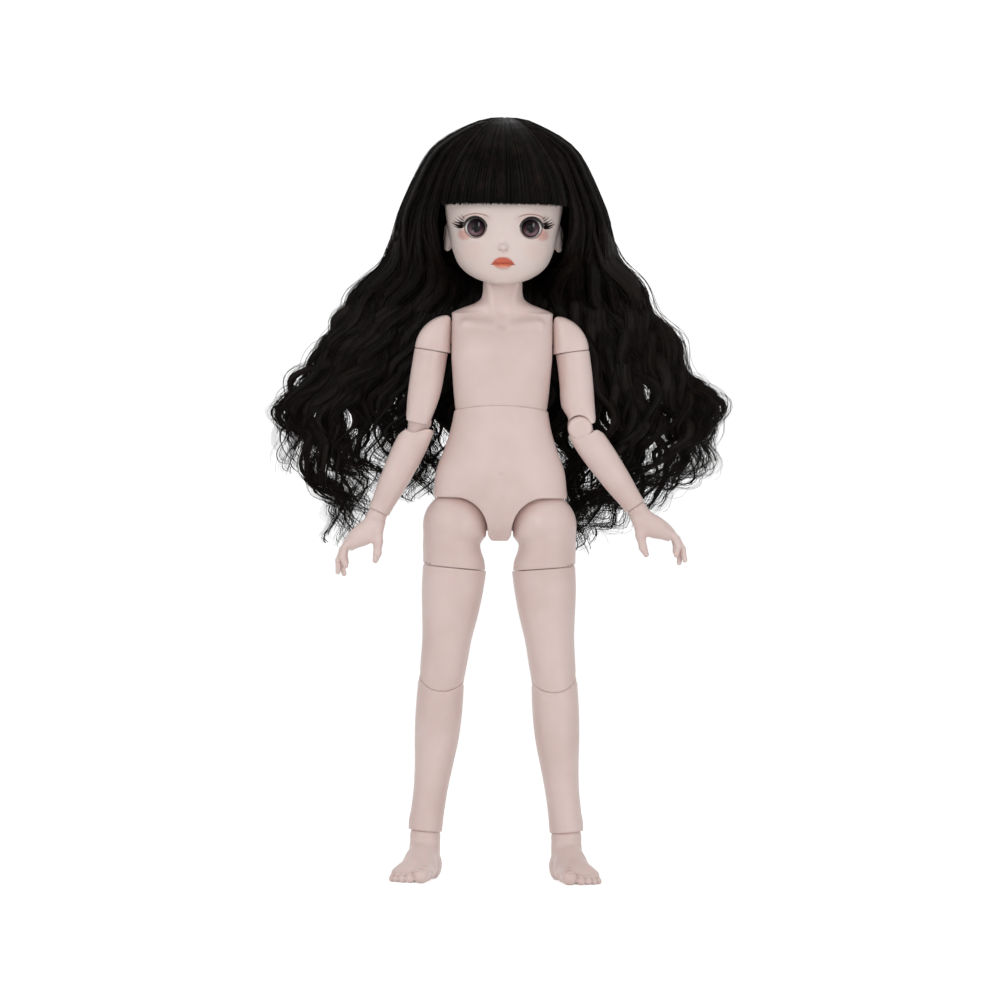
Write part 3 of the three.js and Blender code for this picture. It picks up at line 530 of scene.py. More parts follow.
def body_skin():
    """Blush body vinyl, made once for all the pieces that share it."""
    made = bpy.data.materials.get("body_vinyl")
    if made:
        return made
    settings = bpy.context.scene.doll_looks
    shader = Shader("body_vinyl", Subsurface_Weight=0.12, Subsurface_Scale=0.004, Specular_IOR_Level=0.4)
    shader.surface.inputs["Subsurface Radius"].default_value = SKIN_RADIUS
    colour = skin_surface(shader, tuple(settings.body_colour), (0.64, 0.47, 0.43), (0.70, 0.46, 0.41))
    shader.set(Base_Color=colour)
    return shader.material


def line_at(value, inner, outer):
    """1 where a value is near 0, fading out between two distances."""
    return value.absolute().fade(inner, outer)


def oval(x, across, z, tall):
    """Below 1 inside an ellipse whose two half sizes are given by their inverses."""
    return (x * across) ** 2.0 + (z * tall) ** 2.0


def face_skin():
    """Pale face with tinted lips, peach cheeks, painted lids and painted shade at the nostrils."""
    settings = bpy.context.scene.doll_looks
    shader = Shader("face_vinyl", Subsurface_Weight=0.1, Subsurface_Scale=0.003, Specular_IOR_Level=0.35)
    shader.surface.inputs["Subsurface Radius"].default_value = SKIN_RADIUS
    colour = skin_surface(shader, tuple(settings.face_colour), (0.70, 0.555, 0.51), (0.74, 0.53, 0.48))
    x, y, z = shader.axes()
    across = x.absolute()
    front = y.fade(-14.0, -8.0)
    up = z - (NECK_HEIGHT + EYE_RISE)
    lid = across - EYE_SPREAD
    cheek = oval(across - 13.0, 0.15, up + 8.6, 0.19).fade(0.0, 1.0) * 0.15
    corner = oval(lid - 4.2, 0.3, up + 2.6, 0.36).fade(0.1, 1.0) * 0.6
    shade = oval(lid, 0.14, up - 3.4, 0.34).fade(0.3, 1.1) * 0.22
    crease = line_at(up - 5.35 + lid * lid * 0.05, 0.08, 0.34) * line_at(lid - 0.3, 4.2, 6.0) * 0.75
    ring = (lid * lid + (up + LID_DROP) ** 2.0).root()
    thick = lid.ramp(-4.0, 4.0) * 0.45 + 0.3
    line = ((ring - 4.25 - thick * 0.5).absolute() - thick * 0.5).fade(0.0, 0.3) * up.ramp(-0.4, 0.7)
    wing = ((9.0 - lid) * 0.12 - (up - 1.7 - (lid - 4.0) * 0.12).absolute()).ramp(-0.15, 0.15)
    line = line.high(wing * lid.ramp(2.9, 3.5) * (ring - 4.1).ramp(0.0, 0.25))
    under = (lid * lid + (up - LID_RISE) ** 2.0).root()
    lower = line_at(under - 4.4, 0.05, 0.35) * up.fade(-0.8, 0.4) * 0.5
    mouth = z - (NECK_HEIGHT + MOUTH_RISE - 0.1)
    wide = (across / 4.6).low(1.0)
    top = 2.7 * (1.0 - wide ** 2.3) - 0.15
    bottom = -1.6 * (1.0 - (across / 4.3).low(1.0) ** 2.4)
    lips = (top - mouth).ramp(-0.4, 0.35) * (mouth - bottom).ramp(-0.5, 0.5) * across.fade(4.2, 4.8)
    upper = lips * (mouth - 0.2 + wide * 0.35).ramp(-0.1, 0.6) * (1.35 - mouth * 0.4) * 0.6
    pale = lips * (-mouth).ramp(0.3, 1.7) * 0.6
    parting = line_at(mouth - 0.2 + 0.4 * wide, 0.06, 0.34)
    parting = parting * (across.ramp(0.8, 3.4) * 0.55 + 0.35) * across.fade(4.2, 5.2)
    # Painted shade: two small brown spots beside the nose tip stand in for the shade inside the nostrils,
    # which are not modelled
    nostril_shade = oval(across - 1.3, 1.1, up + 8.7, 2.2).fade(0.2, 1.0) * 0.35
    for mask, tint in ((cheek, (0.80, 0.40, 0.32)), (corner, (0.62, 0.22, 0.16)), (shade, (0.50, 0.27, 0.22)),
                       (crease, (0.22, 0.075, 0.05)), (line, (0.010, 0.006, 0.005)),
                       (lower, (0.24, 0.09, 0.07)), (lips * 0.92, tuple(settings.lip_colour)),
                       (upper, (0.50, 0.05, 0.022)), (pale, (0.76, 0.38, 0.29)),
                       (parting, (0.22, 0.03, 0.02)), (nostril_shade, (0.45, 0.2, 0.15))):
        colour = shader.mix(mask * front, colour, tint)
    shader.set(Base_Color=colour)
    return shader.material


def eye_gloss(name, side):
    """Glass-like eye: white, ringed iris, dark pupil, pale lower crescent, painted shade of the lid over the
    top of the iris and the white, and a painted glint.
    """
    shader = Shader(name, Specular_IOR_Level=0.15, Roughness=0.3)
    x, _, z = shader.axes()
    dx = x - side * (EYE_SPREAD - 0.2)
    dz = z - (NECK_HEIGHT + EYE_RISE)
    r = (dx * dx + dz * dz).root()
    angle = shader.node("ShaderNodeMath", {"operation": "ARCTAN2"}, [dz, dx])
    spot = shader.node("ShaderNodeCombineXYZ", None, [angle * 5.0, r * 0.35, 0.0])
    rays = shader.node("ShaderNodeTexNoise", {"noise_dimensions": "2D"},
                       {"Vector": spot, "Scale": 2.2, "Detail": 3.0})
    colour = shader.mix(rays.ramp(0.3, 0.75), (0.024, 0.009, 0.015), (0.120, 0.060, 0.078))
    crescent = (-dz).ramp(-0.2, 2.4) * line_at(r - 2.5, 0.15, 0.9)
    pupil = ((dx * dx) * 1.32 + (dz * dz)).root()
    glint = oval(dx - 1.1, 2.4, dz - 1.3, 1.0).fade(0.3, 1.2)
    small = oval(dx + 1.2, 1.6, dz + 1.4, 1.6).fade(0.2, 1.2)
    for mask, tint in ((crescent * 0.65, (0.30, 0.19, 0.22)),
                       # painted shade of the upper lid and lashes: the top half of the iris darkened almost
                       # to black
                       (dz.ramp(-0.6, 2.0) * 0.85, (0.010, 0.006, 0.009)),
                       (r.ramp(IRIS_RADIUS - 0.5, IRIS_RADIUS), (0.014, 0.007, 0.010)),
                       (pupil.fade(1.55, 1.95), (0.003, 0.002, 0.003)),
                       (r.ramp(IRIS_RADIUS, IRIS_RADIUS + 0.25), (0.82, 0.77, 0.76)),
                       # painted shade of the lid on the top of the white and the iris rim
                       (dz.ramp(1.2, 3.4) * r.ramp(3.4, 3.7) * 0.8, (0.16, 0.11, 0.12)),
                       (glint.high(small * 0.35) * 0.4, (0.55, 0.52, 0.53))):
        colour = shader.mix(mask, colour, tint)
    shader.set(Base_Color=colour)
    return shader.material


def plain_surface(name, colour, shade, roughness, metallic=0.0, scale=900.0, specular=0.5):
    shader = Shader(name, Metallic=metallic, Specular_IOR_Level=specular)
    grain = shader.noise(scale, 3.0)
    shader.set(Base_Color=shader.mix(grain.ramp(0.3, 0.7), colour, shade))
    shader.set(Roughness=grain * 0.16 + (roughness - 0.08))
    shader.set(Normal=shader.bump(grain, 0.00002, 0.3))
    return shader.material


def hair_surface():
    """Near-black fibre with fine lighter brown streaks along each lock, partly the strands' own colour and
    partly painted highlights, and a brown tone that grows into a painted sheen towards the lock ends.
    """
    settings = bpy.context.scene.doll_looks
    shader = Shader("silky_hair", Specular_IOR_Level=0.08)
    tone = shader.node("ShaderNodeAttribute", {"attribute_name": "tone"}, None, 2)
    flow = shader.node("ShaderNodeAttribute", {"attribute_name": "flow"}, None, 1)
    streak = shader.node("ShaderNodeTexNoise", None, {"Vector": flow, "Scale": 11.0, "Detail": 3.0,
                                                      "Roughness": 0.7})
    fibre = streak.ramp(0.45, 0.75)
    # tone: a random brown for each lock or strand; on the locks it also grows into a painted sheen towards
    # their ends
    colour = shader.mix(tone * 0.5, tuple(settings.hair_colour), (0.014, 0.008, 0.006))
    # streaks: lighter brown, partly the strands' own colour and partly painted highlights along the lock
    colour = shader.mix(fibre * 0.5, colour, (0.034, 0.020, 0.017))
    shader.set(Base_Color=colour, Roughness=fibre * 0.14 + 0.3)
    shader.set(Normal=shader.bump(streak, 0.0006, 0.5))
    return shader.material


# Sections, as shares of a part's length, half width and half depth: height, width, depth, then
# where they differ from 0, 0 and round, the offsets in x and y and the roundness
PELVIS = [(0, 0.55, 0.5, 0, 0.1), (0.1, 0.93, 0.86, 0, 0.08), (0.22, 1, 1, 0, 0.06),
          (0.33, 0.992, 1, 0, 0.04), (0.44, 0.955, 0.985, 0, 0.02), (0.55, 0.855, 0.95, 0, 0),
          (0.7, 0.745, 0.9, 0, 0), (0.86, 0.69, 0.87, 0, 0), (1, 0.687, 0.86, 0, 0)]
CHEST = [(0, 0.905, 0.89, 0, 0), (0.18, 0.945, 0.93, 0, 0), (0.38, 0.975, 0.98, 0, -0.02),
         (0.55, 1, 1, 0, -0.03), (0.69, 1, 0.95, 0, 0), (0.81, 1, 0.84, 0, 0.03), (0.91, 1, 0.7, 0, 0.05),
         (1, 1, 0.54, 0, 0.05)]
NECK = [(0, 1, 0.54), (0.06, 0.96, 0.54), (0.15, 0.79, 0.55), (0.25, 0.56, 0.55), (0.35, 0.44, 0.54),
        (0.48, 0.4, 0.53), (0.72, 0.388, 0.53), (1, 0.36, 0.5)]
SWING_TURNS = [radians(turn) for turn in (-60, -48, -36, -24, -12, 0, 20)]


def leg_sweep(g, side):
    """Room that a thigh fills as it swings from back to front."""
    room = None
    hip = np.array([side * HIP_SPREAD, 0, 0])
    for turn in SWING_TURNS:
        down = cos(LEG_SPLAY)
        end = hip + 40 * np.array([side * sin(LEG_SPLAY), down * sin(turn), -down * cos(turn)])
        thigh = capsule(g, hip, end, THIGH_RADIUS + 0.25, THIGH_RADIUS + 0.25)
        room = thigh if room is None else np.minimum(room, thigh)
    return room


def leg_opening(g, side):
    ax = side * g.x - HIP_SPREAD - 0.1
    dz = g.z + OPENING_DROP
    high = OPENING_RISE + OPENING_DROP
    curve = (np.sqrt((ax / OPENING_RADIUS) ** 2 + (dz / high) ** 2) - 1) * OPENING_RADIUS
    under = np.maximum(np.abs(ax) - OPENING_RADIUS, dz)
    outer = np.maximum(-ax, g.z - OPENING_RISE)
    return np.minimum(np.minimum(curve, under), outer)


def pelvis_skin():
    g = Grid((-29, -19, -8), (29, 20, WAIST_RISE + 4), 0.45)
    form = share_loft(g, PELVIS, -CROTCH_DROP, WAIST_RISE + WAIST_DEPTH, HIP_WIDTH, HIP_DEPTH, 2.25)
    arch = WAIST_ARCH * (g.y / WAIST_DEPTH) ** 2
    form = trim(form, g.z - (WAIST_RISE - WAIST_SEAM) - arch, 0.15)
    form = cut(form, ball(g, WAIST_DOME + GAP, (0, 0, WAIST_RISE + WAIST_PIVOT)), 0.2)
    form = trim(form, -CROTCH_DROP - g.z, 0.5)
    taper = (np.abs(g.x) - CROTCH_HALF - 0.62 * (g.z + 3.4)) * 0.85
    form = trim(form, np.where(g.z < 3, taper, -FAR), 0.6)
    for side in (1, -1):
        opening = leg_opening(g, side)
        form = trim(form, np.where(g.y < 0, (-12.2 - g.y - 0.5 * opening) * 0.85, -FAR), 1.5)
        form = cut(form, opening, 0.4)
        form = cut(form, leg_sweep(g, side), 0.2)
        form = cut(form, ball(g, HIP_BALL + 2 * GAP, (side * HIP_SPREAD, 0, 0)), 0.2)
        form = cut(form, capsule(g, (side * 1, 0, 0), (side * HIP_SPREAD, 0, 0), 2.7, 2.7), 0.1)
    navel = ellipsoid(g, (0.2, -15.4, 19.6), (0.8, 1.4, 0.9))
    form = cut(form, navel, 1.1)
    form = form + 0.1 * np.exp(-(g.y / 0.3) ** 2)
    return skin_of(form, g)


def chest_skin():
    g = Grid((-22, -18, -1), (22, 18, NECK_RISE + NECK_BALL + 1), 0.45)
    top = SHOULDER_RISE + COLLAR_RISE
    rows = [(a, w, d, x, y, 2.2 + 1.3 * a) for a, w, d, x, y in CHEST]
    form = share_loft(g, rows, 0, top, SHOULDER_WIDTH, CHEST_DEPTH)
    neck = share_loft(g, NECK, top - 0.6, NECK_RISE, SHOULDER_WIDTH, CHEST_DEPTH)
    form = join(form, neck, 1.2)
    for side in (1, -1):
        bone = capsule(g, (side * 2.6, -9.3, 32.6), (side * 14.5, -8.3, 34.2), 0.9, 0.7)
        form = join(form, bone, 2.8)
        cord = capsule(g, (side * 2.0, -8.6, 34.0), (side * 5.2, -5.2, 50.0), 0.7, 0.5)
        form = join(form, cord, 3.0)
    form = cut(form, ball(g, 1.6, (0, -11.9, 34.6)), 2.2)
    form = trim(form, WAIST_SEAM + WAIST_ARCH * (g.y / WAIST_DEPTH) ** 2 - g.z, 0.15)
    form = trim(form, np.abs(g.x) - SHOULDER_WIDTH - 0.1, 0.3)
    form = cut(form, ball(g, WAIST_DOME + GAP, (0, 0, WAIST_PIVOT)), 0.2)
    form = join(form, ball(g, NECK_BALL, (0, 0, NECK_RISE)), 0.6)
    slot = np.maximum(np.abs(g.x) - 2.8, NECK_RISE - 3.7 - g.z)
    form = cut(form, np.maximum(slot, np.abs(g.y) - 5.5), 0.2)
    for side in (1, -1):
        form = cut(form, np.maximum(rod_x(g, 2.5, SHOULDER_RISE), 7.5 - side * g.x), 0.2)
    form = form + 0.1 * np.exp(-(g.y / 0.3) ** 2) * (g.z < top)
    return skin_of(form, g)


def waist_ball_skin():
    g = Grid((-12, -12, -1), (12, 12, 15), 0.5)
    form = trim(ball(g, WAIST_DOME, (0, 0, WAIST_PIVOT)), GAP / 2 - g.z, 0.4)
    form = cut(form, rod_x(g, 1.5, WAIST_PIVOT), 0.2)
    return skin_of(form, g)


THIGH = [(0, 0.715, 0.74, 0.0), (0.15, 0.705, 0.75, -0.035), (0.29, 0.735, 0.79, -0.06),
         (0.46, 0.775, 0.83, -0.08), (0.64, 0.875, 0.9, -0.1), (0.83, 0.965, 0.97, -0.105),
         (1, 1.0, 1, -0.11)]
THIGH_TOP = [(0, 1.0, 1, -0.11), (0.22, 0.985, 1, -0.07), (0.46, 0.935, 0.99, 0.02),
             (0.66, 0.93, 0.985, 0.04), (0.77, 0.995, 0.99, -0.015), (1, 0.99, 0.985, 0)]
TWIST_BOSS = 10.8
BOSS_HEIGHT = 1.0
SHIN = [(0, 0.72, 0.74, 0.02, 0), (0.1, 0.715, 0.75, 0.01, 0.02), (0.28, 0.735, 0.82, -0.04, 0.06),
        (0.44, 0.83, 0.94, -0.07, 0.09), (0.6, 0.945, 1.0, -0.08, 0.1), (0.76, 0.995, 1.01, -0.07, 0.07),
        (0.9, 0.99, 0.99, -0.05, 0.03), (1, 0.97, 0.96, -0.03, 0)]


def swing_slot(x, y, z, low, high, half, shaft, disc):
    """Room for a peg that leans about x between two angles in degrees, with its shaft up z."""
    slot = np.maximum(np.sqrt(y ** 2 + z ** 2) - disc, np.abs(x) - half)
    for angle in np.linspace(radians(low), radians(high), 9):
        side = np.abs(y * cos(angle) + z * sin(angle)) - shaft
        ahead = -(z * cos(angle) - y * sin(angle))
        slot = np.minimum(slot, np.maximum(np.maximum(side, ahead), np.abs(x) - half))
    return slot


def upper_thigh_skin():
    g = Grid((-14, -14, -18), (14, 14, 13.8), 0.42)
    form = share_loft(g, THIGH_TOP, -TWIST_SEAM + SEAM, 0, THIGH_RADIUS, THIGH_DEPTH)
    form = trim(form, -TWIST_SEAM + SEAM - g.z, 0.25)
    form = join(form, ball(g, HIP_BALL + 0.4), 0.6)
    recess = np.maximum(rod_z(g, TWIST_BOSS + GAP), g.z + TWIST_SEAM - BOSS_HEIGHT - GAP)
    form = cut(form, recess, 0.1)
    form = cut(form, swing_slot(g.y, g.z, -g.x, -12, 58, 2.9, 2.8, 4.7), 0.2)
    return skin_of(form, g)


def knee_upper(g):
    """Below zero above the knee faces."""
    front = -(g.z * KNEE_DEPTH - g.y * KNEECAP_DROP) / hypot(KNEE_DEPTH, KNEECAP_DROP)
    back = -(g.z * cos(KNEE_BACK) - g.y * sin(KNEE_BACK))
    return np.minimum(np.where(g.y < 0, front, back), rod_x(g, KNEE_BOSS))


def lower_thigh_skin():
    g = Grid((-14, -14, -THIGH_LENGTH - 9), (14, 14, -TWIST_SEAM + 2), 0.42)
    form = share_loft(g, THIGH, -THIGH_LENGTH - KNEE_DEPTH, -TWIST_SEAM - SEAM,
                      THIGH_RADIUS, THIGH_DEPTH)
    form = trim(form, g.z + TWIST_SEAM + SEAM, 0.25)
    boss = np.maximum(rod_z(g, TWIST_BOSS), np.abs(g.z + TWIST_SEAM) - BOSS_HEIGHT)
    form = np.minimum(form, boss)
    knee = g.from_height(-THIGH_LENGTH)
    form = trim(form, knee_upper(knee), 0.3)
    form = cut(form, ball(knee, KNEE_BALL + GAP), 0.2)
    form = cut(form, np.maximum(rod_x(knee, KNEE_PIN), np.abs(g.x) - 8.3), 0.1)
    return skin_of(form, g)


def shin_skin():
    g = Grid((-13, -13, -SHIN_LENGTH + 1), (13, 13, 8), 0.45)
    form = share_loft(g, SHIN, -SHIN_LENGTH + ANKLE_RIM, 0, SHIN_RADIUS, SHIN_DEPTH)
    form = trim(form, -SHIN_LENGTH + ANKLE_RIM - g.z, 0.4)
    drop = 2 * SEAM
    front = (g.z * KNEE_DEPTH - g.y * KNEECAP_DROP) / hypot(KNEE_DEPTH, KNEECAP_DROP) + drop
    back = g.z * cos(SHIN_BACK) + g.y * sin(SHIN_BACK) + drop
    form = trim(form, np.where(g.y < 0, front, back), 0.3)
    form = cut(form, rod_x(g, KNEE_BOSS + GAP), 0.3)
    form = join(form, ball(g, KNEE_BALL), 0.2)
    bone = ellipsoid(g, (ANKLE_WIDTH * 0.55, 0.5, -SHIN_LENGTH + 5.5), (1.9, 2.0, 2.6))
    form = join(form, bone, 3.0)
    form = cut(form, rod_x(g, KNEE_PIN), 0.1)
    form = cut(form, ball(g, ANKLE_BALL + GAP, (0, 0, -SHIN_LENGTH)), 0.3)
    form = cut(form, np.maximum(rod_z(g, 1.7), g.z + SHIN_LENGTH - 15.3), 0.1)
    return skin_of(form, g)


TOES = [(-5.7, 1.0, 3.0), (-1.4, 0.985, 1.75), (1.7, 0.95, 1.65), (4.5, 0.89, 1.55), (7.0, 0.81, 1.45)]


def foot_skin():
    """Foot in its own level frame, with the ankle ball at the origin."""
    g = Grid((-13, -30, -ANKLE_HEIGHT - 1), (13, 15, 7.5), 0.33)
    floor = -ANKLE_HEIGHT
    heel = ellipsoid(g, (-0.2, 5.6, floor + 5.2), (4.7, 6.6, 6.4))
    ankle = capsule(g, (0, 0.2, -3.4), (0, 2.6, floor + 6.4), 5.5, 4.9)
    form = join(heel, ankle, 3.0)
    instep = chain(g, [(0, -1.2, -5.0), (0.1, -7.0, floor + 7.4), (0.1, -14.0, floor + 5.0)],
                   [5.2, 5.6, 4.4], 2.0)
    form = join(form, instep, 3.0)
    mid = ellipsoid(g, (0.2, -8.6, floor + 4.2), (7.0, 11.0, 5.0))
    form = join(form, mid, 2.5)
    tread = ellipsoid(g, (0.1, -15.6, floor + 3.3), (8.7, 6.6, 3.9))
    form = join(form, tread, 2.5)
    arch = ellipsoid(g, (-8.4, -4.0, floor - 0.4), (3.6, 7.0, 2.4))
    form = cut(form, arch, 2.0)
    for x, along, r in TOES:
        y = -TOE * along + r
        joints = [(x * 0.93, y + 6.0, floor + r + 0.9), (x, y + 2.2, floor + r + 0.8),
                  (x, y, floor + r - 0.2)]
        form = join(form, chain(g, joints, [r * 0.96, r * 0.9, r], 0.5), 0.45)
        nail, rim = (ellipsoid(g, (x, y - r * 0.42, floor + r * rise), (r * wide, r * wide, thick))
                     for rise, wide, thick in ((1.72, 0.62, 0.42), (1.86, 0.76, 0.55)))
        form = join(cut(form, rim, 0.3), nail, 0.12)
    form = trim(form, floor - g.z, 0.5)
    form = trim(form, g.z + 1.4, 2.2)
    form = join(form, ball(g, ANKLE_BALL), 1.4)
    return skin_of(form, g)


UPPER = [(0, 0.71, 0.86, 0.14, 0, 3.1), (0.08, 0.73, 0.87, 0.12, 0, 3), (0.2, 0.81, 0.91, 0.07, 0, 2.5),
         (0.36, 0.92, 0.95, 0.03, 0, 2.1), (0.56, 0.99, 1, 0), (0.75, 1, 1, 0), (1, 1, 1, 0)]
UPPER_ARCHED = [(0, 0.79, 0.86, 0.03, 0, 3.3), (0.13, 0.81, 0.88, 0.03, 0, 3.1),
                (0.19, 0.835, 0.9, 0.01, 0, 2.7), (0.26, 0.92, 0.94, -0.05, 0, 2.3),
                (0.33, 0.99, 0.97, -0.1, 0, 2.1), (0.42, 1.01, 0.98, -0.09), (0.6, 1, 1, -0.03),
                (0.78, 1, 1, 0), (1, 1, 1, 0)]
SHOULDER_BOSS = 4.6
LOWER = [(0, 0.68, 0.68), (0.1, 0.72, 0.72), (0.26, 0.84, 0.84), (0.44, 0.93, 0.93), (0.64, 1, 0.97),
         (0.8, 1, 0.95, 0, 0, 2.4), (0.9, 0.96, 0.93, 0, 0, 2.9), (1, 0.9, 0.92, 0, 0, 3)]


def shoulder_cap_skin():
    g = Grid((SHOULDER_WIDTH - 0.5, -8.5, -6), (SHOULDER_WIDTH + 16, 8.5, 16), 0.35)
    face = SHOULDER_WIDTH + 0.2
    tall = CAP_RADIUS * 1.02
    rise = np.clip(g.z / tall, 0, 0.999)
    reach = tall * np.sqrt(1 - rise ** 2)
    depth = CAP_DEPTH * (1 - rise ** 2) ** 0.31
    half = reach / 2
    dx = np.abs(g.x - face - half) / np.maximum(half, 0.4)
    dy = np.abs(g.y) / np.maximum(depth, 0.4)
    q = (dx ** CAP_ROUNDNESS + dy ** CAP_ROUNDNESS + 1e-9) ** (1 / CAP_ROUNDNESS)
    form = (q - 1) * np.minimum(half, depth)
    form = np.maximum(form, g.z - CAP_RADIUS)
    form = trim(form, face - g.x, 0.25)
    seam = g.z * cos(ARM_SPLAY) - (g.x - ARM_AXIS) * sin(ARM_SPLAY) - SEAM
    form = trim(form, -seam, 0.2)
    aside = (g.x - ARM_AXIS) * cos(ARM_SPLAY) + g.z * sin(ARM_SPLAY)
    recess = np.sqrt(aside ** 2 + g.y ** 2) - SHOULDER_BOSS - GAP
    form = cut(form, np.maximum(recess, seam - BOSS_HEIGHT - GAP), 0.1)
    hinge_x, hinge_z = SHOULDER_WIDTH + CAP_CORNER + GAP / 2, CAP_RADIUS - CAP_CORNER
    corner = rod_y(g, CAP_CORNER, hinge_x, hinge_z)
    form = np.where((g.x < hinge_x) & (g.z > hinge_z), np.maximum(form, corner), form)
    slot = np.maximum(np.maximum(g.x - hinge_x - 2.0, np.abs(g.y) - 1.8), hinge_z - 9.1 - g.z)
    slot = np.maximum(slot, np.where(g.z > hinge_z, g.x - hinge_x, -FAR))
    form = cut(form, slot, 0.2)
    return skin_of(form, g)


def elbow_room(g, z, spare=0.2):
    """Room for the double knuckle, and for its lean as the elbow bends outward; z falls towards it."""
    depth = g.y * (KNUCKLE + spare) / (KNUCKLE_DEPTH + spare)
    room = None
    for lean in np.linspace(0, ELBOW_OPENING, 5):
        behind = np.maximum(z * cos(lean) - g.x * sin(lean), 0)
        across = g.x * cos(lean) + z * sin(lean)
        place = np.sqrt(across ** 2 + behind ** 2 + depth ** 2) - KNUCKLE - spare
        room = place if room is None else np.minimum(room, place)
    return room


def knob(g, x, z, grow=0.0):
    """Rounded button in front of the upper knuckle."""
    return trim(rod_y(g, KNUCKLE + 0.2 + grow, x, z), np.abs(g.y + 1.4) - 4.75 - grow, 2.6)


def upper_arm_skin(arch=False):
    """Arched, its end opens in front round the knuckle; else it ends in a straight edge."""
    g = Grid((-8, -8, -UPPER_ARM - 3.5), (8, 8, 1.8), 0.3)
    rows = UPPER_ARCHED if arch else UPPER
    form = share_loft(g, rows, -UPPER_ARM - ELBOW_CHEEK - GAP, -SEAM, ARM_RADIUS, ARM_RADIUS)
    form = trim(form, g.z + SEAM, 0.2)
    boss = np.maximum(rod_z(g, SHOULDER_BOSS), np.abs(g.z) - BOSS_HEIGHT)
    form = np.minimum(form, boss)
    elbow = g.from_height(-UPPER_ARM)
    form = trim(form, -0.85 - elbow.z + 0.08 * g.x, 0.3)
    form = cut(form, elbow_room(elbow, elbow.z), 0.1)
    if arch:
        form = cut(form, np.maximum(rod_y(elbow, KNUCKLE + 0.1, *KNOB), g.y), 0.3)
    return skin_of(form, g)


def elbow_link_skin(arch=False):
    """Double knuckle; where the arm is arched its upper front swells into the opening."""
    g = Grid((-7.1, -6.6, -ELBOW_LINK - 5.6), (5.6, 5.2, 5.6), 0.28)
    z = np.clip(-g.z, 0, ELBOW_LINK)
    x = g.x + (1.2 * (1 - z / ELBOW_LINK) if arch else 0)
    form = np.sqrt(x ** 2 + (g.z + z) ** 2 + (g.y * KNUCKLE / KNUCKLE_DEPTH) ** 2) - KNUCKLE
    form = form + 0.9 * np.sin(pi * z / ELBOW_LINK) ** 2
    if arch:
        form = join(form, knob(g, *KNOB), 0.4)
    return skin_of(form, g)


def forearm_skin(arch=False):
    """Its top rises on the inner side and falls to the side that the elbow bends to."""
    g = Grid((-8, -8, -FOREARM + 0.5), (8, 8, 7.5), 0.3)
    form = share_loft(g, LOWER, -FOREARM + WRIST_RIM, 7.0, FOREARM_RADIUS, FOREARM_RADIUS)
    form = trim(form, -FOREARM + WRIST_RIM - g.z, 0.3)
    top = 1.8 + 4.2 * ease((2.2 - g.x) / 6.6) - 0.5 * np.maximum(g.x - 4.2, 0) ** 2
    form = trim(form, g.z - top, 0.5)
    form = cut(form, elbow_room(g, -g.z, -0.15 if arch else 0.2), 0.1)
    if arch:
        bend = ELBOW_BEND["left"]
        c, s, rise = cos(bend), sin(bend), ELBOW_LINK + KNOB[1]
        form = cut(form, knob(g, KNOB[0] * c + rise * s, rise * c - KNOB[0] * s, -0.6), 0.1)
    form = cut(form, ball(g, WRIST_BALL + GAP, (0, 0, -FOREARM)), 0.2)
    return skin_of(form, g)


PALM = [(-17.0, 2.2, 3.2, 5.0), (-15.0, 3.1, 3.9, 4.3), (-12.5, 4.3, 4.1, 2.9), (-10, 4.9, 4.0, 1.7),
        (-7, 4.8, 3.7, 0.7), (-4, 4.3, 3.4, -0.2), (-1, 4.0, 3.3, -0.4), (1, 3.9, 3.2, -0.4)]
FINGERS = [
    ([(4.0, -2.9, -12.0), (5.9, -3.1, -17.0), (5.0, -3.0, -20.8), (2.2, -2.8, -23.2)], 1.2),
    ([(4.2, -1.0, -12.5), (6.3, -1.0, -18.0), (5.8, -1.0, -22.6), (4.0, -1.0, -26.8)], 1.22),
    ([(4.1, 1.0, -12.5), (6.1, 1.1, -17.8), (4.8, 1.1, -22.6), (1.6, 1.0, -26.4)], 1.2),
    ([(3.8, 2.9, -12.0), (5.5, 3.0, -16.4), (4.6, 3.0, -19.6), (2.6, 2.9, -22.0)], 1.08),
]
THUMB = [(-2.4, -1.4, -4.5), (-4.9, -1.8, -9.2), (-6.7, -1.8, -13.4), (-7.2, -1.6, -16.2)]


def hand_skin():
    """Relaxed hand: palm to the body, fingers one behind the other, thumb apart."""
    g = Grid((-11, -6.5, -HAND - 1.5), (10.5, 6.5, 5), 0.24)
    form = loft(g, [[z, a, b, x, 0, 2.1] for z, a, b, x in PALM])
    form = np.maximum(np.maximum(form, PALM[0][0] - g.z), g.z - PALM[-1][0])
    for points, radius in FINGERS:
        finger = chain(g, points, [radius * 1.08, radius * 1.04, radius, radius * 0.8], 0.5)
        form = join(form, finger, 0.55)
    form = join(form, chain(g, THUMB, [2.2, 1.9, 1.5, 1.15], 0.9), 1.8)
    form = trim(form, g.z + 0.7, 0.9)
    form = join(form, ball(g, WRIST_BALL), 0.6)
    form = cut(form, swing_slot(g.x, g.y, g.z, -42, 42, 1.3, 1.2, 2.2), 0.15)
    return skin_of(form, g)


HEAD = [(0, 0.06, 0.1, 0, -0.58), (0.008, 0.2, 0.24, 0, -0.5), (0.025, 0.35, 0.38, 0, -0.4),
        (0.06, 0.54, 0.58, 0, -0.25), (0.11, 0.695, 0.74, 0, -0.12), (0.2, 0.825, 0.86, 0, -0.03),
        (0.3, 0.89, 0.93, 0, 0), (0.42, 0.96, 0.98, 0, 0.03),
        (0.55, 1, 1, 0, 0.05), (0.68, 0.98, 0.99, 0, 0.06), (0.8, 0.88, 0.9, 0, 0.06),
        (0.9, 0.7, 0.72, 0, 0.06), (0.965, 0.45, 0.46, 0, 0.06), (1, 0.15, 0.15, 0, 0.06)]


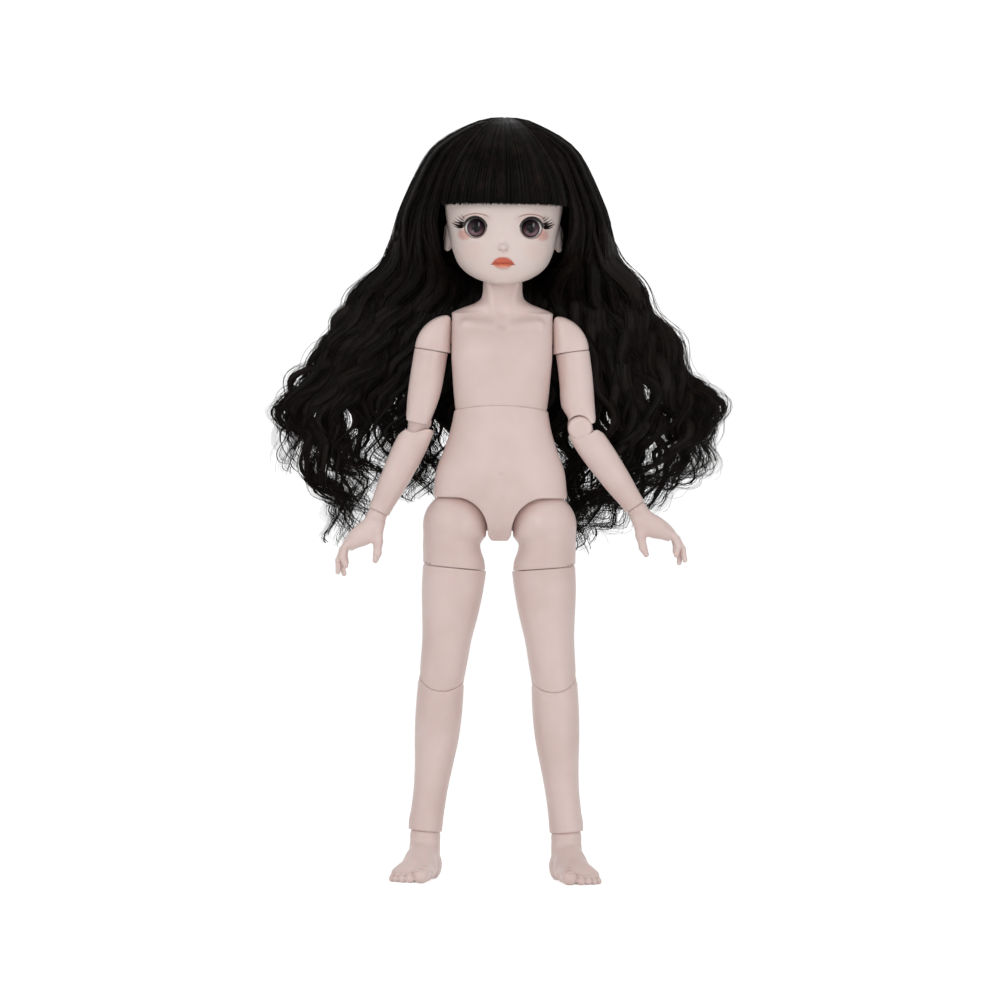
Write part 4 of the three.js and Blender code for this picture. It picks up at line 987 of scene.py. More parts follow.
def head_field(g, grow=0.0):
    rows = [[-CHIN_DROP - grow + (HEAD_HEIGHT + 2 * grow) * a, HEAD_WIDTH * w + grow,
             HEAD_DEPTH * d + grow, HEAD_WIDTH * x, HEAD_DEPTH * y - HEAD_LEAD, 2.1]
            for a, w, d, x, y in HEAD]
    form = loft(g, rows)
    return np.maximum(np.maximum(form, rows[0][0] - g.z), g.z - rows[-1][0])


def eye_cover(g, side):
    """Round opening about the eye axis, its upper and lower arcs a little apart."""
    dx = side * g.x - EYE_SPREAD
    dz = g.z - EYE_RISE
    top = np.sqrt(dx ** 2 + (dz + LID_DROP) ** 2) - 4.35
    bottom = np.sqrt(dx ** 2 + (dz - LID_RISE) ** 2) - 4.25
    return np.maximum(np.maximum(top, bottom), g.y + 8.0)


def head_skin():
    g = Grid((-27, -31, -CHIN_DROP - 1), (27, 28, HEAD_HEIGHT - CHIN_DROP + 1), 0.4)
    form = head_field(g)
    nose_top = (0, -24.2, EYE_RISE - 3.5)
    nose_tip = (0, -27.7, EYE_RISE - 7.5)
    form = join(form, capsule(g, nose_top, nose_tip, 0.4, 0.7), 3.0)
    form = join(form, ellipsoid(g, (0, -27.6, EYE_RISE - 7.8), (1.3, 1.4, 0.9)), 1.5)
    for side in (1, -1):
        socket = ellipsoid(g, (side * EYE_SPREAD, -30.6, EYE_RISE + 0.4), (6.6, 5.9, 5.6))
        form = cut(form, socket, 3.4)
        form = join(form, ball(g, EYE_RADIUS + 0.75, (side * EYE_SPREAD, -EYE_DEPTH, EYE_RISE)), 1.6)
    form = join(form, ellipsoid(g, (0, -26.3, MOUTH_RISE - 1.1), (2.4, 1.4, 1.0)), 0.9)
    for side in (1, -1):
        form = join(form, ellipsoid(g, (side * 1.2, -26.4, MOUTH_RISE + 1.0), (2.2, 1.3, 1.1)), 0.9)
    mouth = np.sqrt(((g.y + 28.3) / 1.5) ** 2 + ((g.z - MOUTH_RISE + 0.03 * g.x ** 2) / 0.26) ** 2) - 1
    form = cut(form, np.maximum(mouth * 0.26, np.abs(g.x) - 3.6), 0.5)
    for side in (1, -1):
        form = cut(form, ball(g, EYE_RADIUS + GAP, (side * EYE_SPREAD, -EYE_DEPTH, EYE_RISE)), 0.2)
        form = cut(form, eye_cover(g, side), 0.25)
        ear = ellipsoid(g, (side * 21.5, 1.6, 13.6), (2.2, 3.4, 5.2))
        lobe = ellipsoid(g, (side * 21.9, 1.2, 9.2), (1.4, 1.8, 1.7))
        bowl = ellipsoid(g, (side * 24.2, 0.0, 14.4), (1.6, 2.0, 3.0))
        form = join(form, join(cut(ear, bowl, 0.8), lobe, 0.8), 0.9)
    socket = join(ball(g, NECK_SOCKET), np.maximum(rod_z(g, NECK_SOCKET), g.z), 0.3)
    form = cut(form, socket, 0.4)
    form = cut(form, np.maximum(rod_z(g, 2.3), np.abs(g.z - 8) - 8.4), 0.1)
    return skin_of(form, g)


# Root along the lid, how far out and up from the middle of the eye each long lash ends, and its thickness
LASH_SPIKES = [(0.99, 8.7, 0.9, 0.42), (0.97, 9.4, 2.05, 0.62), (0.93, 8.9, 3.1, 0.3), (0.87, 8.3, 4.0, 0.24),
               (0.78, 7.1, 4.8, 0.2), (0.66, 5.8, 5.1, 0.17)]


def eye_skin():
    g = Grid((-6, -6.2, -6), (6, 6, 6), 0.28)
    form = ball(g, EYE_RADIUS)
    form = join(form, ellipsoid(g, (0, -1.2, 0), (3.6, 4.35, 3.6)), 0.8)
    return skin_of(form, g)


# Hair outline seen from the front, in millimetres: height and half width
HAIR_WIDE = [(125, 56), (130, 58), (139, 62), (149, 71), (158, 79), (168, 85.5), (177, 88), (187, 86),
             (196, 81), (205, 72), (215, 66), (224, 61), (234, 53), (243, 46.5), (250, 45), (257, 43.4),
             (262, 42), (267, 39.8), (271.6, 37.9), (276, 35.7), (281, 33.4), (286, 30.2), (290.5, 25.2),
             (295, 17.4), (298.5, 9), (300, 2)]
# How far down the hair reaches, by share of its half width, on the doll's right and left
HAIR_ENDS = {-1: [(0, 148), (0.3, 147), (0.62, 146), (0.76, 141), (0.88, 129), (0.95, 133), (1, 160)],
             1: [(0, 146), (0.3, 142), (0.48, 129), (0.7, 127), (0.82, 131), (0.9, 148), (1, 166)]}
EAR_LEVEL = 262.0
EAR_CLEAR = 27.2
HAIR_TOP = 300.2
SHEET_FRONT = 17.5
SHEET_BACK = 26.5
LOCK_STEPS = 64
STRAND_STEPS = 48
FRINGE_STEPS = 16
FRINGE_RISE = 24.9
FRINGE_HALF = 23.8
FRINGE_RADIUS = 0.17
STRAND_RADIUS = 0.14
LOCK_WIDTH = 3.3
WAVE_LENGTH = 24.0
CURL_START = 0.78
CROWD = 1.5
TURN_FIRST, TURN_LAST = -72, 96


def hair_width(z):
    table = np.array(HAIR_WIDE)
    return np.interp(z, table[:, 0], table[:, 1])


def ease(value):
    value = np.clip(value, 0, 1)
    return value * value * (3 - 2 * value)


def resample(points, steps, crowd=1.0):
    """Steps along one path, closer together near its end where crowd is more than 1."""
    gone = np.concatenate([[0], np.cumsum(np.linalg.norm(np.diff(points, axis=0), axis=1))])
    t = gone[-1] * (1 - (1 - np.linspace(0, 1, steps)) ** crowd)
    return np.stack([np.interp(t, gone, points[:, axis]) for axis in range(3)], -1), gone[-1]


def lock_guide(rng, side, turn, inset):
    """Middle line of one lock: from the parting, over the side of the head, down to its end."""
    reach = np.interp(turn, [-72, -56, -22, 12, 50, 96], [0.4, 0.42, 0.93, 0.98, 0.55, 0.02])
    share = float(np.clip(reach + rng.normal(0, 0.08), 0.02, 1.0))
    drop = np.linspace(0, pi / 2, 16)
    low_turn = max(turn, -50)
    theta = np.radians(turn + (low_turn - turn) * np.sin(drop) ** 2)
    z = EAR_LEVEL + (HAIR_TOP - inset - EAR_LEVEL) * np.cos(drop)
    side_share = np.maximum(np.cos(theta), 0.02) ** (0.75 if turn < 0 else 1)
    x = (hair_width(z) - inset) * (side_share + (1 - side_share) * 0.25 * np.cos(drop))
    start = np.interp(turn, [-72, -56, 0, 96], [-16, -13, -3, 7])
    depth = (15.5 if turn < 0 else 30.5) - inset
    y = start + (depth * np.sin(theta) + 1.5 - start) * np.sin(drop) ** 0.9
    x[0] = 0.4
    z = z - 0.02 * start ** 2 * np.cos(drop)
    over = np.stack([x, y, z], -1)
    ends = np.array(HAIR_ENDS[side], float)
    low = np.interp(share, ends[:, 0], ends[:, 1]) + abs(rng.normal(0, 5)) + 8 * (rng.random() < 0.4)
    z = np.linspace(EAR_LEVEL - 3, low, 26)
    slide = ease((EAR_LEVEL - z) / (34 if share > 0.7 else 42))
    head_x = (np.minimum(hair_width(z), 46) - inset) * side_share[-1]
    wide = hair_width(z) + (8 if side < 0 else -9) * ease((160 - z) / 20)
    x = head_x + (share * (wide - 2.0) - head_x) * slide
    back = SHEET_FRONT if rng.random() < 0.5 else SHEET_BACK
    back += rng.normal(0, 1.2)
    y_head = depth * sin(theta[-1]) + 1.5
    y = y_head + (back - y_head) * ease((EAR_LEVEL - 8 - z) / 30)
    down = np.stack([x, y, z], -1)
    path, length = resample(np.concatenate([over, down]), LOCK_STEPS, CROWD)
    radial = path - [0, 1, EAR_LEVEL - 4]
    radial[:, 2] = np.maximum(radial[:, 2], 0)
    radial /= np.linalg.norm(radial, axis=1, keepdims=True) + 1e-6
    flat = np.array([0.0, -1.0 if turn < 20 else 1.0, 0.0])
    mixing = ease((EAR_LEVEL - 2 - path[:, 2]) / 26)[:, None]
    normal = radial * (1 - mixing) + flat * mixing
    path[:, 0] *= side
    normal[:, 0] *= side
    return path, normal, length, share


def waved(rng, path, normal, length, share, side):
    """Adds waves that run together with their neighbours, and a curl at the end."""
    t = 1 - (1 - np.linspace(0, 1, len(path))) ** CROWD
    across = np.cross(np.gradient(path, axis=0), normal)
    across /= np.linalg.norm(across, axis=1, keepdims=True) + 1e-6
    z = path[:, 2]
    loose = ease((250 - z) / 30)
    phase = 2 * pi * z / WAVE_LENGTH + 4.2 * share * side + rng.normal(0, 0.4)
    swing = (2.6 + 1.4 * ease((215 - z) / 50)) * loose * rng.uniform(0.6, 1.3)
    curl = ease((t - CURL_START) / 0.2)
    turns = (t - CURL_START) * length / rng.uniform(14, 22) * 2 * pi + phase[-1]
    side_move = swing * np.cos(phase) + curl * rng.uniform(1.4, 4.2) * np.cos(turns)
    deep_move = 0.35 * swing * np.sin(phase) + curl * 1.4 * np.sin(turns)
    return path + across * side_move[:, None] + normal * deep_move[:, None], across, t


def lock_mesh(locks, sides):
    """Flat locks: points, quads, a tone for each face, which grows into a painted brown sheen towards each
    lock's end, and a place in the fibre for each point.
    """
    points, quads, tones, flows = [], [], [], []
    base = 0
    angle = 2 * pi * np.arange(sides) / sides
    for path, across, normal, width, depth, tone, seed in locks:
        steps = len(path)
        rib = 1 + 0.08 * np.cos(angle * (sides // 3) + seed)
        ring = (path[:, None] + across[:, None] * (width[:, None] * np.cos(angle) * rib)[..., None]
                + normal[:, None] * (depth[:, None] * np.sin(angle) * rib)[..., None])
        points.append(ring.reshape(-1, 3))
        along = np.repeat(np.linspace(0, 0.9, steps), sides)
        flows.append(np.stack([np.tile(np.cos(angle), steps) + 9 * seed, np.tile(np.sin(angle), steps),
                               along], -1))
        row = base + np.arange(steps - 1)[:, None] * sides
        here = row + np.arange(sides)
        there = row + (np.arange(sides) + 1) % sides
        quads.append(np.stack([here, there, there + sides, here + sides], -1).reshape(-1, 4))
        # Painted sheen: each lock's random tone grows along it, so that its end looks browner as if lit
        shade = np.clip(tone * (0.4 + 1.4 * np.linspace(0, 1, steps - 1)), 0, 1)
        tones.append(np.repeat(shade, sides))
        base += steps * sides
    return np.concatenate(points), np.concatenate(quads), np.concatenate(tones), np.concatenate(flows)


def strand_mesh(strands):
    points, quads, tone = tube_mesh(*(np.array(column) for column in zip(*strands)))
    return points, quads, tone, points * 0.02


def tube_mesh(paths, radii, tones, sides=3):
    """Tapered tubes along many paths of equal length: points, quads and a tone for each face."""
    count, steps, _ = paths.shape
    tangent = np.gradient(paths, axis=1)
    tangent /= np.linalg.norm(tangent, axis=2, keepdims=True) + 1e-9
    first = np.cross(tangent, np.array([0.0, 1.0, 0.15]))
    first /= np.linalg.norm(first, axis=2, keepdims=True) + 1e-9
    second = np.cross(tangent, first)
    rings = []
    for i in range(sides):
        angle = 2 * pi * i / sides
        rings.append(paths + radii[..., None] * (cos(angle) * first + sin(angle) * second))
    points = np.stack(rings, 2).reshape(-1, 3)
    base = (np.arange(count)[:, None] * steps + np.arange(steps - 1)[None]) * sides
    quads = []
    for i in range(sides):
        j = (i + 1) % sides
        quads.append(np.stack([base + i, base + j, base + j + sides, base + i + sides], -1))
    return points, np.stack(quads, 2).reshape(-1, 4), np.repeat(tones, (steps - 1) * sides)


def hair_object(name, shape, material, nodes=()):
    points, quads, tone, flow = shape
    obj = mesh_object(name, points * MM, quads, material)
    attribute = obj.data.attributes.new("tone", "FLOAT", "FACE")
    attribute.data.foreach_set("value", np.asarray(tone, np.float32))
    attribute = obj.data.attributes.new("flow", "FLOAT_VECTOR", "POINT")
    attribute.data.foreach_set("vector", np.asarray(flow, np.float32).ravel())
    if nodes:
        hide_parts(*nodes)
    return obj


def behind_body(path):
    """Keeps loose hair behind the neck, torso and arms, and clear of the ears."""
    x, y, z = path[:, 0], path[:, 1], path[:, 2]
    below = ease((NECK_HEIGHT - 6 - z) / 12.0)
    torso_wall, arm_wall, hip_wall = 16.2, 9.0, 17.6
    wall = np.where(np.abs(x) < 24, torso_wall, arm_wall)
    wall = np.where((z < HIP_HEIGHT + 28) & (np.abs(x) < 31), hip_wall, wall)
    path[:, 1] = np.maximum(y, wall * below + y * (1 - below))
    beside = ease((270 - z) / 5) * ease((z - 238) / 6) * ease((9 - y) / 4)
    clear = np.maximum(np.abs(x), EAR_CLEAR)
    path[:, 0] = np.sign(x) * (np.abs(x) + (clear - np.abs(x)) * beside)
    return path


def long_hair(rng, side, count, strands):
    """Locks and loose strands of one side of the head."""
    locks, threads = [], []
    for i in range(count):
        turn = TURN_FIRST + (TURN_LAST - TURN_FIRST) * (i + rng.uniform(0.1, 0.9)) / count
        inset = 1.4 + 3.2 * rng.random()
        path, normal, length, share = lock_guide(rng, side, turn, inset)
        path, across, t = waved(rng, path, normal, length, share, side)
        path = behind_body(path)
        wide = LOCK_WIDTH * (0.34 + 0.66 * ease(t / 0.2)) * (1 - 0.94 * ease((t - 0.54) / 0.46))
        wide = wide * rng.uniform(0.5, 1.15)
        deep = wide * (0.26 + 0.1 * rng.random())
        tone = rng.uniform(0.0, 0.6)
        locks.append((path, across, normal, wide, deep, tone, rng.uniform(0, 6)))
        for _ in range(strands):
            angle = rng.uniform(0, 2 * pi) + 1.4 * t * rng.normal()
            spread = rng.uniform(0.9, 1.15) + (1.1 * rng.random() ** 3) * ease((t - 0.3) / 0.5)
            extra = 1.7 * ease((t - 0.5) / 0.45) * rng.normal()
            line = path + across * ((wide + 0.3) * np.cos(angle) * spread + extra)[:, None]
            line = line + normal * ((deep + 0.2) * np.sin(angle) * spread)[:, None]
            cut_at = int(len(path) * rng.uniform(0.88, 1.0))
            line = resample(line[:cut_at], STRAND_STEPS, 1.3)[0]
            s = np.linspace(0, 1, STRAND_STEPS)
            shade = float(np.clip(tone + rng.normal(0, 0.3), 0, 1))
            threads.append((line, STRAND_RADIUS * (1 - 0.6 * s ** 2), shade))
    return lock_mesh(locks, 12), strand_mesh(threads)


def under_sheet_skin():
    """Dense inner layer of the long hair behind the neck and the shoulders, thin at its edges."""
    g = Grid((-64, 14, 166), (64, 32, 250), 1.1)
    low, high, depth = 178, 249, (SHEET_FRONT + SHEET_BACK) / 2
    half = 0.76 * hair_width(g.z) - 3.0
    edge = (half - np.abs(g.x)) / 12.0
    end = (g.z - low - 7 * np.cos(g.x * 0.16)) / 16.0
    middle = depth + 0.9 * np.cos(g.z * 0.26 + np.abs(g.x) * 0.08)
    thick = 3.0 * ease(np.minimum(edge, end)) * ease((high - g.z) / 4)
    form = (np.abs(g.y - middle) - thick + 0.6).astype(np.float32)
    return skin_of(form, g, 2)


def fringe_path(x_end, z_end, grow):
    """From the parting forward over the brow, then straight down."""
    t = np.linspace(0, 1, FRINGE_STEPS)
    top = NECK_HEIGHT + HEAD_HEIGHT - CHIN_DROP + grow - 1.0
    a = t * pi / 2
    x = x_end * (0.14 + 0.86 * np.sin(a) ** 0.8)
    z = z_end + (top - z_end) * (1 - t) * (0.35 + 0.65 * np.cos(a) ** 0.5)
    forward = np.sqrt(np.clip(1 - (x / (HEAD_WIDTH + grow + 1)) ** 2, 0.03, 1))
    lift = np.clip((z - NECK_HEIGHT - 26) / (top - NECK_HEIGHT - 26), 0, 1)
    y = 1.6 - HEAD_LEAD - (HEAD_DEPTH + grow) * forward * np.sqrt(np.clip(1 - lift ** 2.2, 0.02, 1))
    path = np.stack([x, y, z], -1)
    normal = path - [0, 0, EAR_LEVEL + 2]
    normal[:, 2] = np.maximum(normal[:, 2], 0)
    return path, normal / np.linalg.norm(normal, axis=1, keepdims=True)


def fringe_hair(rng, count=40, strands=24):
    """Blunt fringe, combed forward from the crown and cut level above the eyes."""
    locks, threads = [], []
    level = NECK_HEIGHT + FRINGE_RISE
    t = np.linspace(0, 1, FRINGE_STEPS)
    for i in range(count):
        share = -1 + 2 * (i + 0.5) / count
        x_end = FRINGE_HALF * share + rng.normal(0, 0.3)
        path, normal = fringe_path(x_end, level + 0.3 + rng.normal(0, 0.15), 3.0 + 0.8 * rng.random())
        across = np.cross(np.gradient(path, axis=0), normal)
        across /= np.linalg.norm(across, axis=1, keepdims=True)
        wide = 1.3 * (0.75 + 0.25 * ease(t / 0.3))
        tone = rng.uniform(0.0, 0.35)
        locks.append((path, across, normal, wide, wide * 0.5, tone, rng.uniform(0, 6)))
        for _ in range(strands):
            x = x_end + rng.normal(0, 0.8)
            line = fringe_path(x, level + rng.normal(0, 0.3), 3.3 + 1.6 * rng.random())[0]
            shade = float(np.clip(tone + rng.normal(0, 0.15), 0, 1))
            threads.append((line, FRINGE_RADIUS * (1 - 0.4 * t ** 4), shade))
    return lock_mesh(locks, 9), strand_mesh(threads)


def hair_base_skin():
    """Dark under-layer that closes the scalp between locks."""
    g = Grid((-44, -34, 0), (44, 36, HEAD_HEIGHT + 1), 0.9)
    form = head_field(g, 2.0)
    z = g.z + NECK_HEIGHT
    half = np.maximum(hair_width(z) - 5.5, 1).astype(np.float32)
    dome = 27.0 * np.sqrt(np.clip(1 - (np.maximum(z - EAR_LEVEL, 0) / 37.5) ** 2, 0.02, 1))
    lobes = (np.sqrt((g.x / half) ** 2 + ((g.y - 3) / dome) ** 2) - 1) * 20
    lobes = np.maximum(lobes, z - (HAIR_TOP - 6))
    low = g.z < 27.5
    lobes = np.maximum(lobes, np.where(low, 8.0, -8.0) - g.y)
    form = join(form, lobes, 1.0)
    form = cut(form, head_field(g, 0.5), 0.3)
    form = cut(form, np.maximum(g.y - 8.0, g.z - 27.0), 0.8)
    form = trim(form, 3.0 - g.z, 0.6)
    return skin_of(form, g, 2)


# Settings that a user can change in the panel
class DollLooks(bpy.types.PropertyGroup):
    body_colour: bpy.props.FloatVectorProperty(
        name="Body colour", description="Moulded colour of the body", subtype="COLOR", size=3,
        min=0, max=1, default=(0.75, 0.60, 0.565))
    face_colour: bpy.props.FloatVectorProperty(
        name="Face colour", description="Paler colour of the face", subtype="COLOR", size=3,
        min=0, max=1, default=(0.77, 0.655, 0.615))
    lip_colour: bpy.props.FloatVectorProperty(
        name="Lip colour", description="Painted colour of the lips", subtype="COLOR", size=3,
        min=0, max=1, default=(0.70, 0.17, 0.085))
    hair_colour: bpy.props.FloatVectorProperty(
        name="Hair colour", description="Darkest colour of the hair", subtype="COLOR", size=3,
        min=0, max=1, default=(0.0025, 0.002, 0.0015))
    floor_colour: bpy.props.FloatVectorProperty(
        name="Floor colour", description="Colour of the floor and backdrop", subtype="COLOR", size=3,
        min=0, max=1, default=(0.92, 0.92, 0.92))


class DollHair(bpy.types.PropertyGroup):
    locks: bpy.props.IntProperty(
        name="Locks", description="Long locks on each side of the parting", default=90, min=4, max=200)
    strands: bpy.props.IntProperty(
        name="Strands", description="Loose strands along each lock", default=15, min=2, max=80)
    seed: bpy.props.IntProperty(name="Seed", description="Seed of the hair's variation", default=7)


class DOLL_OT_torso(bpy.types.Operator):
    """Pelvis, waist ball and chest with the neck"""
    bl_idname = "doll.torso"
    bl_label = "Torso"

    def execute(self, context):
        skin = body_skin()
        for name, shape, height, body, nodes in (
                ("pelvis_shell", pelvis_skin(), HIP_HEIGHT, "pelvis", ["pelvis_front", "pelvis_back"]),
                ("chest_shell", chest_skin(), WAIST_HEIGHT, "chest", ["chest_front", "chest_back"]),
                ("waist_dome", waist_ball_skin(), WAIST_HEIGHT, "waist_ball", ["waist_ball"])):
            piece(name, shape, moved(0, 0, height), skin, body, nodes)
        return {"FINISHED"}


def limb_piece(name, side, shape, place):
    node = f"{name}_{side}"
    piece(f"{node}_skin", shape, place, body_skin(), node, [node], side == "right")


class DOLL_OT_legs(bpy.types.Operator):
    """Thighs, shins and feet of both legs"""
    bl_idname = "doll.legs"
    bl_label = "Legs"

    def execute(self, context):
        places = leg_places()
        level = turned(-TOE_OUT, "Z") @ turned(LEG_SPLAY, "Y") @ turned(TOE_OUT, "Z")
        parts = [
            ("upper_thigh", upper_thigh_skin(), places["thigh"]),
            ("lower_thigh", lower_thigh_skin(), places["thigh"]),
            ("shin", shin_skin(), places["knee"]),
            ("foot", foot_skin(), places["ankle"] @ level),
        ]
        for name, shape, place in parts:
            for side in ("left", "right"):
                limb_piece(name, side, shape, place)
        return {"FINISHED"}


class DOLL_OT_arms(bpy.types.Operator):
    """Shoulder caps, arms, elbow links and hands of both arms"""
    bl_idname = "doll.arms"
    bl_label = "Arms"

    def execute(self, context):
        cap, hand = shoulder_cap_skin(), hand_skin()
        for side in ("left", "right"):
            arch = side == "left"
            parts = [
                ("shoulder_cap", cap, "shoulder"),
                ("upper_arm", upper_arm_skin(arch), "upper"),
                ("elbow_link", elbow_link_skin(arch), "link"),
                ("forearm", forearm_skin(arch), "lower"),
                ("hand", hand, "wrist"),
            ]
            for name, shape, place in parts:
                limb_piece(name, side, shape, arm_places(side)[place])
        return {"FINISHED"}


class DOLL_OT_head(bpy.types.Operator):
    """Head with its painted face, the eyes and the lashes"""
    bl_idname = "doll.head"
    bl_label = "Head"

    def execute(self, context):
        piece("head_shell", head_skin(), moved(0, 0, NECK_HEIGHT), face_skin(), "head",
              ["face", "skull"])
        shape = eye_skin()
        black = plain_surface("lash_fibre", (0.006, 0.003, 0.002), (0.012, 0.006, 0.004), 0.8,
                              specular=0.03)
        for side, name in ((1, "left"), (-1, "right")):
            place = moved(side * EYE_SPREAD, -EYE_DEPTH, NECK_HEIGHT + EYE_RISE)
            piece(f"eye_{name}_glass", shape, place, eye_gloss(f"eye_{name}", side), "head",
                  [f"eye_{name}"])
            lash_piece(side, name, black)
        return {"FINISHED"}


def lash_piece(side, name, black):
    """Upper lashes: a dark lid line, short hairs along it and long spikes past the outer corner."""
    rng = np.random.default_rng(11)
    paths, radii = [], []
    steps = 10
    t = np.linspace(0, 1, steps)

    def spot(x, z, out=0.0):
        place = EYE_SPREAD + x
        return np.array([side * place, -24.9 + 0.0145 * place * place - out, NECK_HEIGHT + EYE_RISE + z])

    def lid(u):
        return spot(4.7 * u, 4.55 * sqrt(max(1 - u * u, 0)) - LID_DROP)

    u = np.linspace(-0.9, 0.95, steps)
    for k in range(4):
        line = np.array([lid(v) for v in u])
        line[:, 2] += 0.14 * k * (0.3 + 0.7 * (u + 1) / 2)
        line[:, 1] -= 0.05 * k
        paths.append(line)
        radii.append(0.22 * (0.6 + 0.4 * np.sin(pi * (u + 1) / 2)))
    for u, x, z, thick in LASH_SPIKES:
        root, tip = lid(u), spot(x, z, 0.9)
        bend = (root + tip) / 2 - [0, 0, 0.9]
        path = np.outer((1 - t) ** 2, root) + np.outer(2 * t * (1 - t), bend) + np.outer(t ** 2, tip)
        paths.append(path)
        radii.append(thick * (1 - t ** 1.5) + 0.03)
    for i in range(34):
        v = -0.8 + 1.45 * (i + rng.uniform(0.2, 0.8)) / 34
        aim = np.array([side * (0.2 + 0.9 * v), -0.8, 0.55])
        path = lid(v) + np.outer(t, aim) * (0.9 + rng.normal(0, 0.12)) + np.outer(t ** 2, [0, 0, 0.3])
        paths.append(path)
        radii.append(0.06 * (1 - 0.75 * t))
    paths = np.array(paths)
    points, quads, _ = tube_mesh(paths, np.array(radii), np.zeros(len(paths)), 5)
    obj = mesh_object(f"lashes_{name}_fan", points * MM, quads, black)
    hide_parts(f"lashes_{name}")
    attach(obj, "head")


class DOLL_OT_hair(bpy.types.Operator):
    """Scalp layer, crown, fringe and long wavy hair"""
    bl_idname = "doll.hair"
    bl_label = "Hair"

    def execute(self, context):
        settings = context.scene.doll_hair
        material = hair_surface()
        rng = np.random.default_rng(settings.seed)
        under = plain_surface("hair_under", (0.003, 0.0022, 0.002), (0.008, 0.005, 0.004), 0.85,
                              specular=0.02)
        piece("hair_scalp", hair_base_skin(), moved(0, 0, NECK_HEIGHT), under, "head", ["hair_cap"])
        shape = under_sheet_skin()
        sheet = mesh_object("hair_under_sheet", shape[0] * MM, shape[1], under)
        locks, threads = fringe_hair(rng)
        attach(hair_object("hair_fringe_locks", locks, material), "head")
        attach(hair_object("hair_fringe_strands", threads, material), "head")
        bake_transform(sheet)
        for side, name in ((1, "left"), (-1, "right")):
            locks, threads = long_hair(rng, side, settings.locks, settings.strands)
            nodes = [f"hair_{name}"] + (["hair_back"] if name == "left" else [])
            for kind, shape, stands_for in (("locks", locks, nodes), ("strands", threads, [])):
                obj = hair_object(f"hair_{name}_{kind}", shape, material, stands_for)
                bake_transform(obj)
        return {"FINISHED"}


class DOLL_OT_fittings(bpy.types.Operator):
    """Finishes for the pegs and pins inside the joints"""
    bl_idname = "doll.fittings"
    bl_label = "Pegs and pins"

    def execute(self, context):
        peg = plain_surface("peg_plastic", (0.66, 0.46, 0.40), (0.58, 0.38, 0.33), 0.42)
        pin = plain_surface("pin_steel", (0.56, 0.56, 0.58), (0.42, 0.42, 0.44), 0.3, 1.0, 1800.0)
        for name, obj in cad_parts.items():
            if "_pin" in name or "_peg" in name or "_cross" in name:
                material = pin if "_pin" in name else peg
                if obj.data.materials:
                    obj.data.materials[0] = material
                else:
                    obj.data.materials.append(material)
        return {"FINISHED"}


# Studio and camera, in metres
PAPER_HALF, WALL_DISTANCE, WALL_CURVE, WALL_HEIGHT = 5.0, 4.0, 0.6, 4.0
PAPER_GLOW = 0.62
ROOM_LIGHT = 0.45
CAMERA_DISTANCE = 2.2
CAMERA_HEIGHT = 0.1492
CAMERA_ROLL = radians(-0.72)
PHOTO_WIDTH = 0.3925
SENSOR = 36.0
# Name, place, height aimed at, size, power and, for a strip, its height
LAMPS = [("key", (-0.6, -1.3, 0.7), 0.13, 0.8, 4.5, 0), ("fill", (0.8, -1.3, 0.12), 0.07, 0.9, 5.0, 0),
         ("top", (0.0, -0.2, 1.3), 0.2, 0.6, 1.6, 0), ("left strip", (-0.9, -0.55, 0.2), 0.18, 0.1, 1.1, 0.9),
         ("right strip", (0.9, -0.55, 0.2), 0.18, 0.1, 1.1, 0.9)]


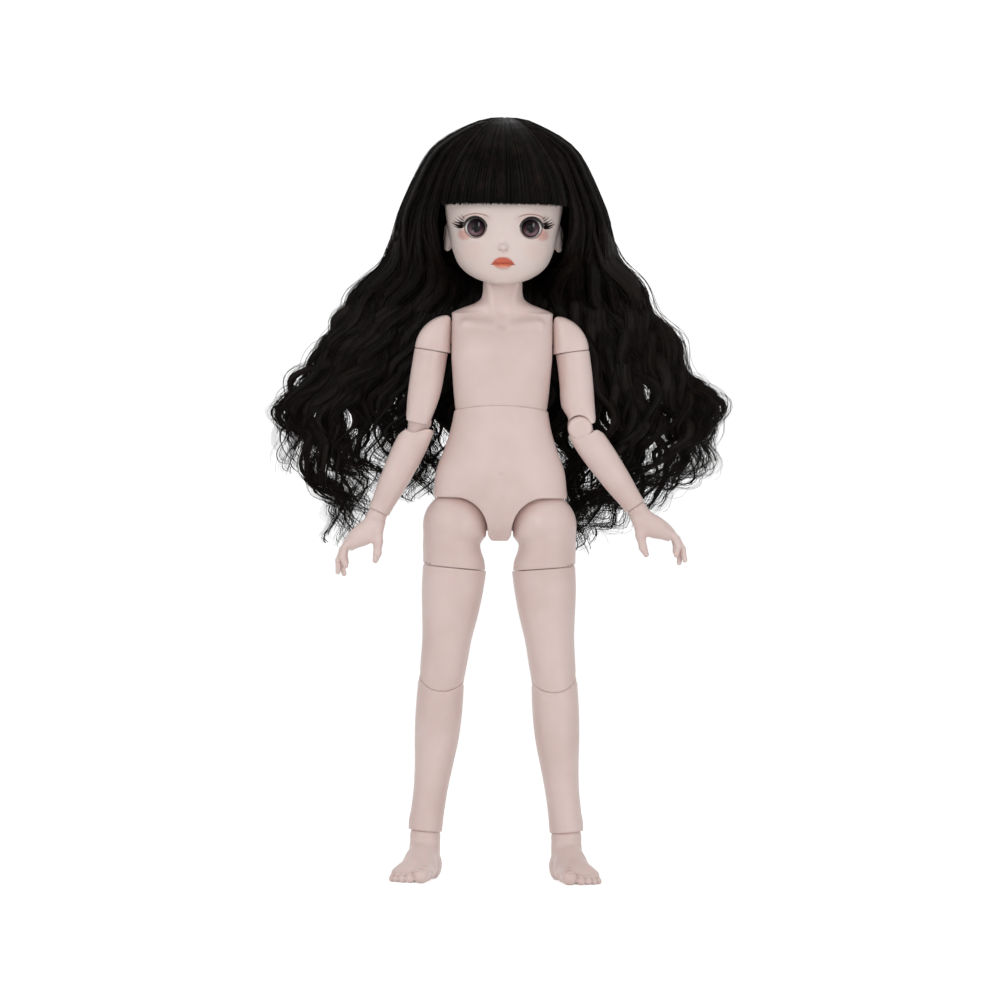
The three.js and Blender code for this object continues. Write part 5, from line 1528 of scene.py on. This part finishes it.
class DOLL_OT_stage(bpy.types.Operator):
    """White floor, backdrop, soft lamps and the camera"""
    bl_idname = "doll.stage"
    bl_label = "Stage"

    def execute(self, context):
        scene = context.scene
        scene.view_settings.view_transform = "Standard"
        shader = Shader("studio_paper", Roughness=0.9, Specular_IOR_Level=0.1)
        shader.set(Base_Color=tuple(scene.doll_looks.floor_colour))
        bend = np.linspace(0, pi / 2, 12)
        wall, curve = WALL_DISTANCE - WALL_CURVE, WALL_CURVE
        profile = [(-PAPER_HALF, 0), *((wall + curve * sin(a), curve - curve * cos(a)) for a in bend),
                   (WALL_DISTANCE, WALL_HEIGHT)]
        points = [(x, y, z) for x in (-PAPER_HALF, PAPER_HALF) for y, z in profile]
        n = len(profile)
        faces = np.array([(i, n + i, n + i + 1, i + 1) for i in range(n - 1)])
        paper = mesh_object("studio_floor", np.array(points, float), faces, shader.material)
        camera_white(shader)
        world = scene.world or bpy.data.worlds.new("studio")
        scene.world = world
        world.use_nodes = True
        back = world.node_tree.nodes["Background"]
        back.inputs[0].default_value = (1, 1, 1, 1)
        sky = Nodes(world.node_tree)
        sky.feed(back.inputs[1], sky.seen() * (1 - ROOM_LIGHT) + ROOM_LIGHT)
        for name, place, aim, size, power, tall in LAMPS:
            lamp(name, place, (0, 0, aim), size, power, tall)
        data = bpy.data.cameras.new("camera")
        camera = bpy.data.objects.new("camera", data)
        scene.collection.objects.link(camera)
        data.sensor_width = SENSOR
        data.lens = SENSOR * CAMERA_DISTANCE / PHOTO_WIDTH
        camera.location = (0.0, -CAMERA_DISTANCE, CAMERA_HEIGHT)
        camera.rotation_euler = (pi / 2, CAMERA_ROLL, 0)
        scene.camera = camera
        return {"FINISHED"}


def camera_white(shader):
    """Shows the paper as clean white to the camera and in reflections, while it keeps the shadow."""
    shader.set(Emission_Color=shader.mix(shader.seen(), (0, 0, 0), (1, 1, 1)))
    shader.surface.inputs["Emission Strength"].default_value = PAPER_GLOW


def lamp(name, place, aim, size, power, tall):
    data = bpy.data.lights.new(name, "AREA")
    data.shape = "RECTANGLE" if tall else "DISK"
    data.size = size
    if tall:
        data.size_y = tall
    data.energy = power
    obj = bpy.data.objects.new(name, data)
    obj.location = place
    obj.rotation_euler = (Vector(aim) - Vector(place)).to_track_quat("-Z", "Y").to_euler()
    bpy.context.scene.collection.objects.link(obj)


class DOLL_PT_panel(bpy.types.Panel):
    bl_label = "Ball jointed doll"
    bl_idname = "DOLL_PT_panel"
    bl_space_type = "VIEW_3D"
    bl_region_type = "UI"
    bl_category = "Doll"

    def draw(self, context):
        layout = self.layout
        for key in ("body_colour", "face_colour", "lip_colour", "hair_colour", "floor_colour"):
            layout.prop(context.scene.doll_looks, key)
        for key in ("locks", "strands", "seed"):
            layout.prop(context.scene.doll_hair, key)
        for operator in OPERATORS:
            layout.operator(operator.bl_idname)


OPERATORS = (DOLL_OT_torso, DOLL_OT_legs, DOLL_OT_arms, DOLL_OT_head, DOLL_OT_hair, DOLL_OT_fittings,
             DOLL_OT_stage)
CLASSES = (DollLooks, DollHair, *OPERATORS, DOLL_PT_panel)


def register():
    for cls in CLASSES:
        bpy.utils.register_class(cls)
    bpy.types.Scene.doll_looks = bpy.props.PointerProperty(type=DollLooks)
    bpy.types.Scene.doll_hair = bpy.props.PointerProperty(type=DollHair)


def unregister():
    del bpy.types.Scene.doll_hair
    del bpy.types.Scene.doll_looks
    for cls in reversed(CLASSES):
        bpy.utils.unregister_class(cls)


def main():
    register()
    for operator in OPERATORS:
        group, name = operator.bl_idname.split(".")
        getattr(getattr(bpy.ops, group), name)()


if __name__ == "__main__":
    main()
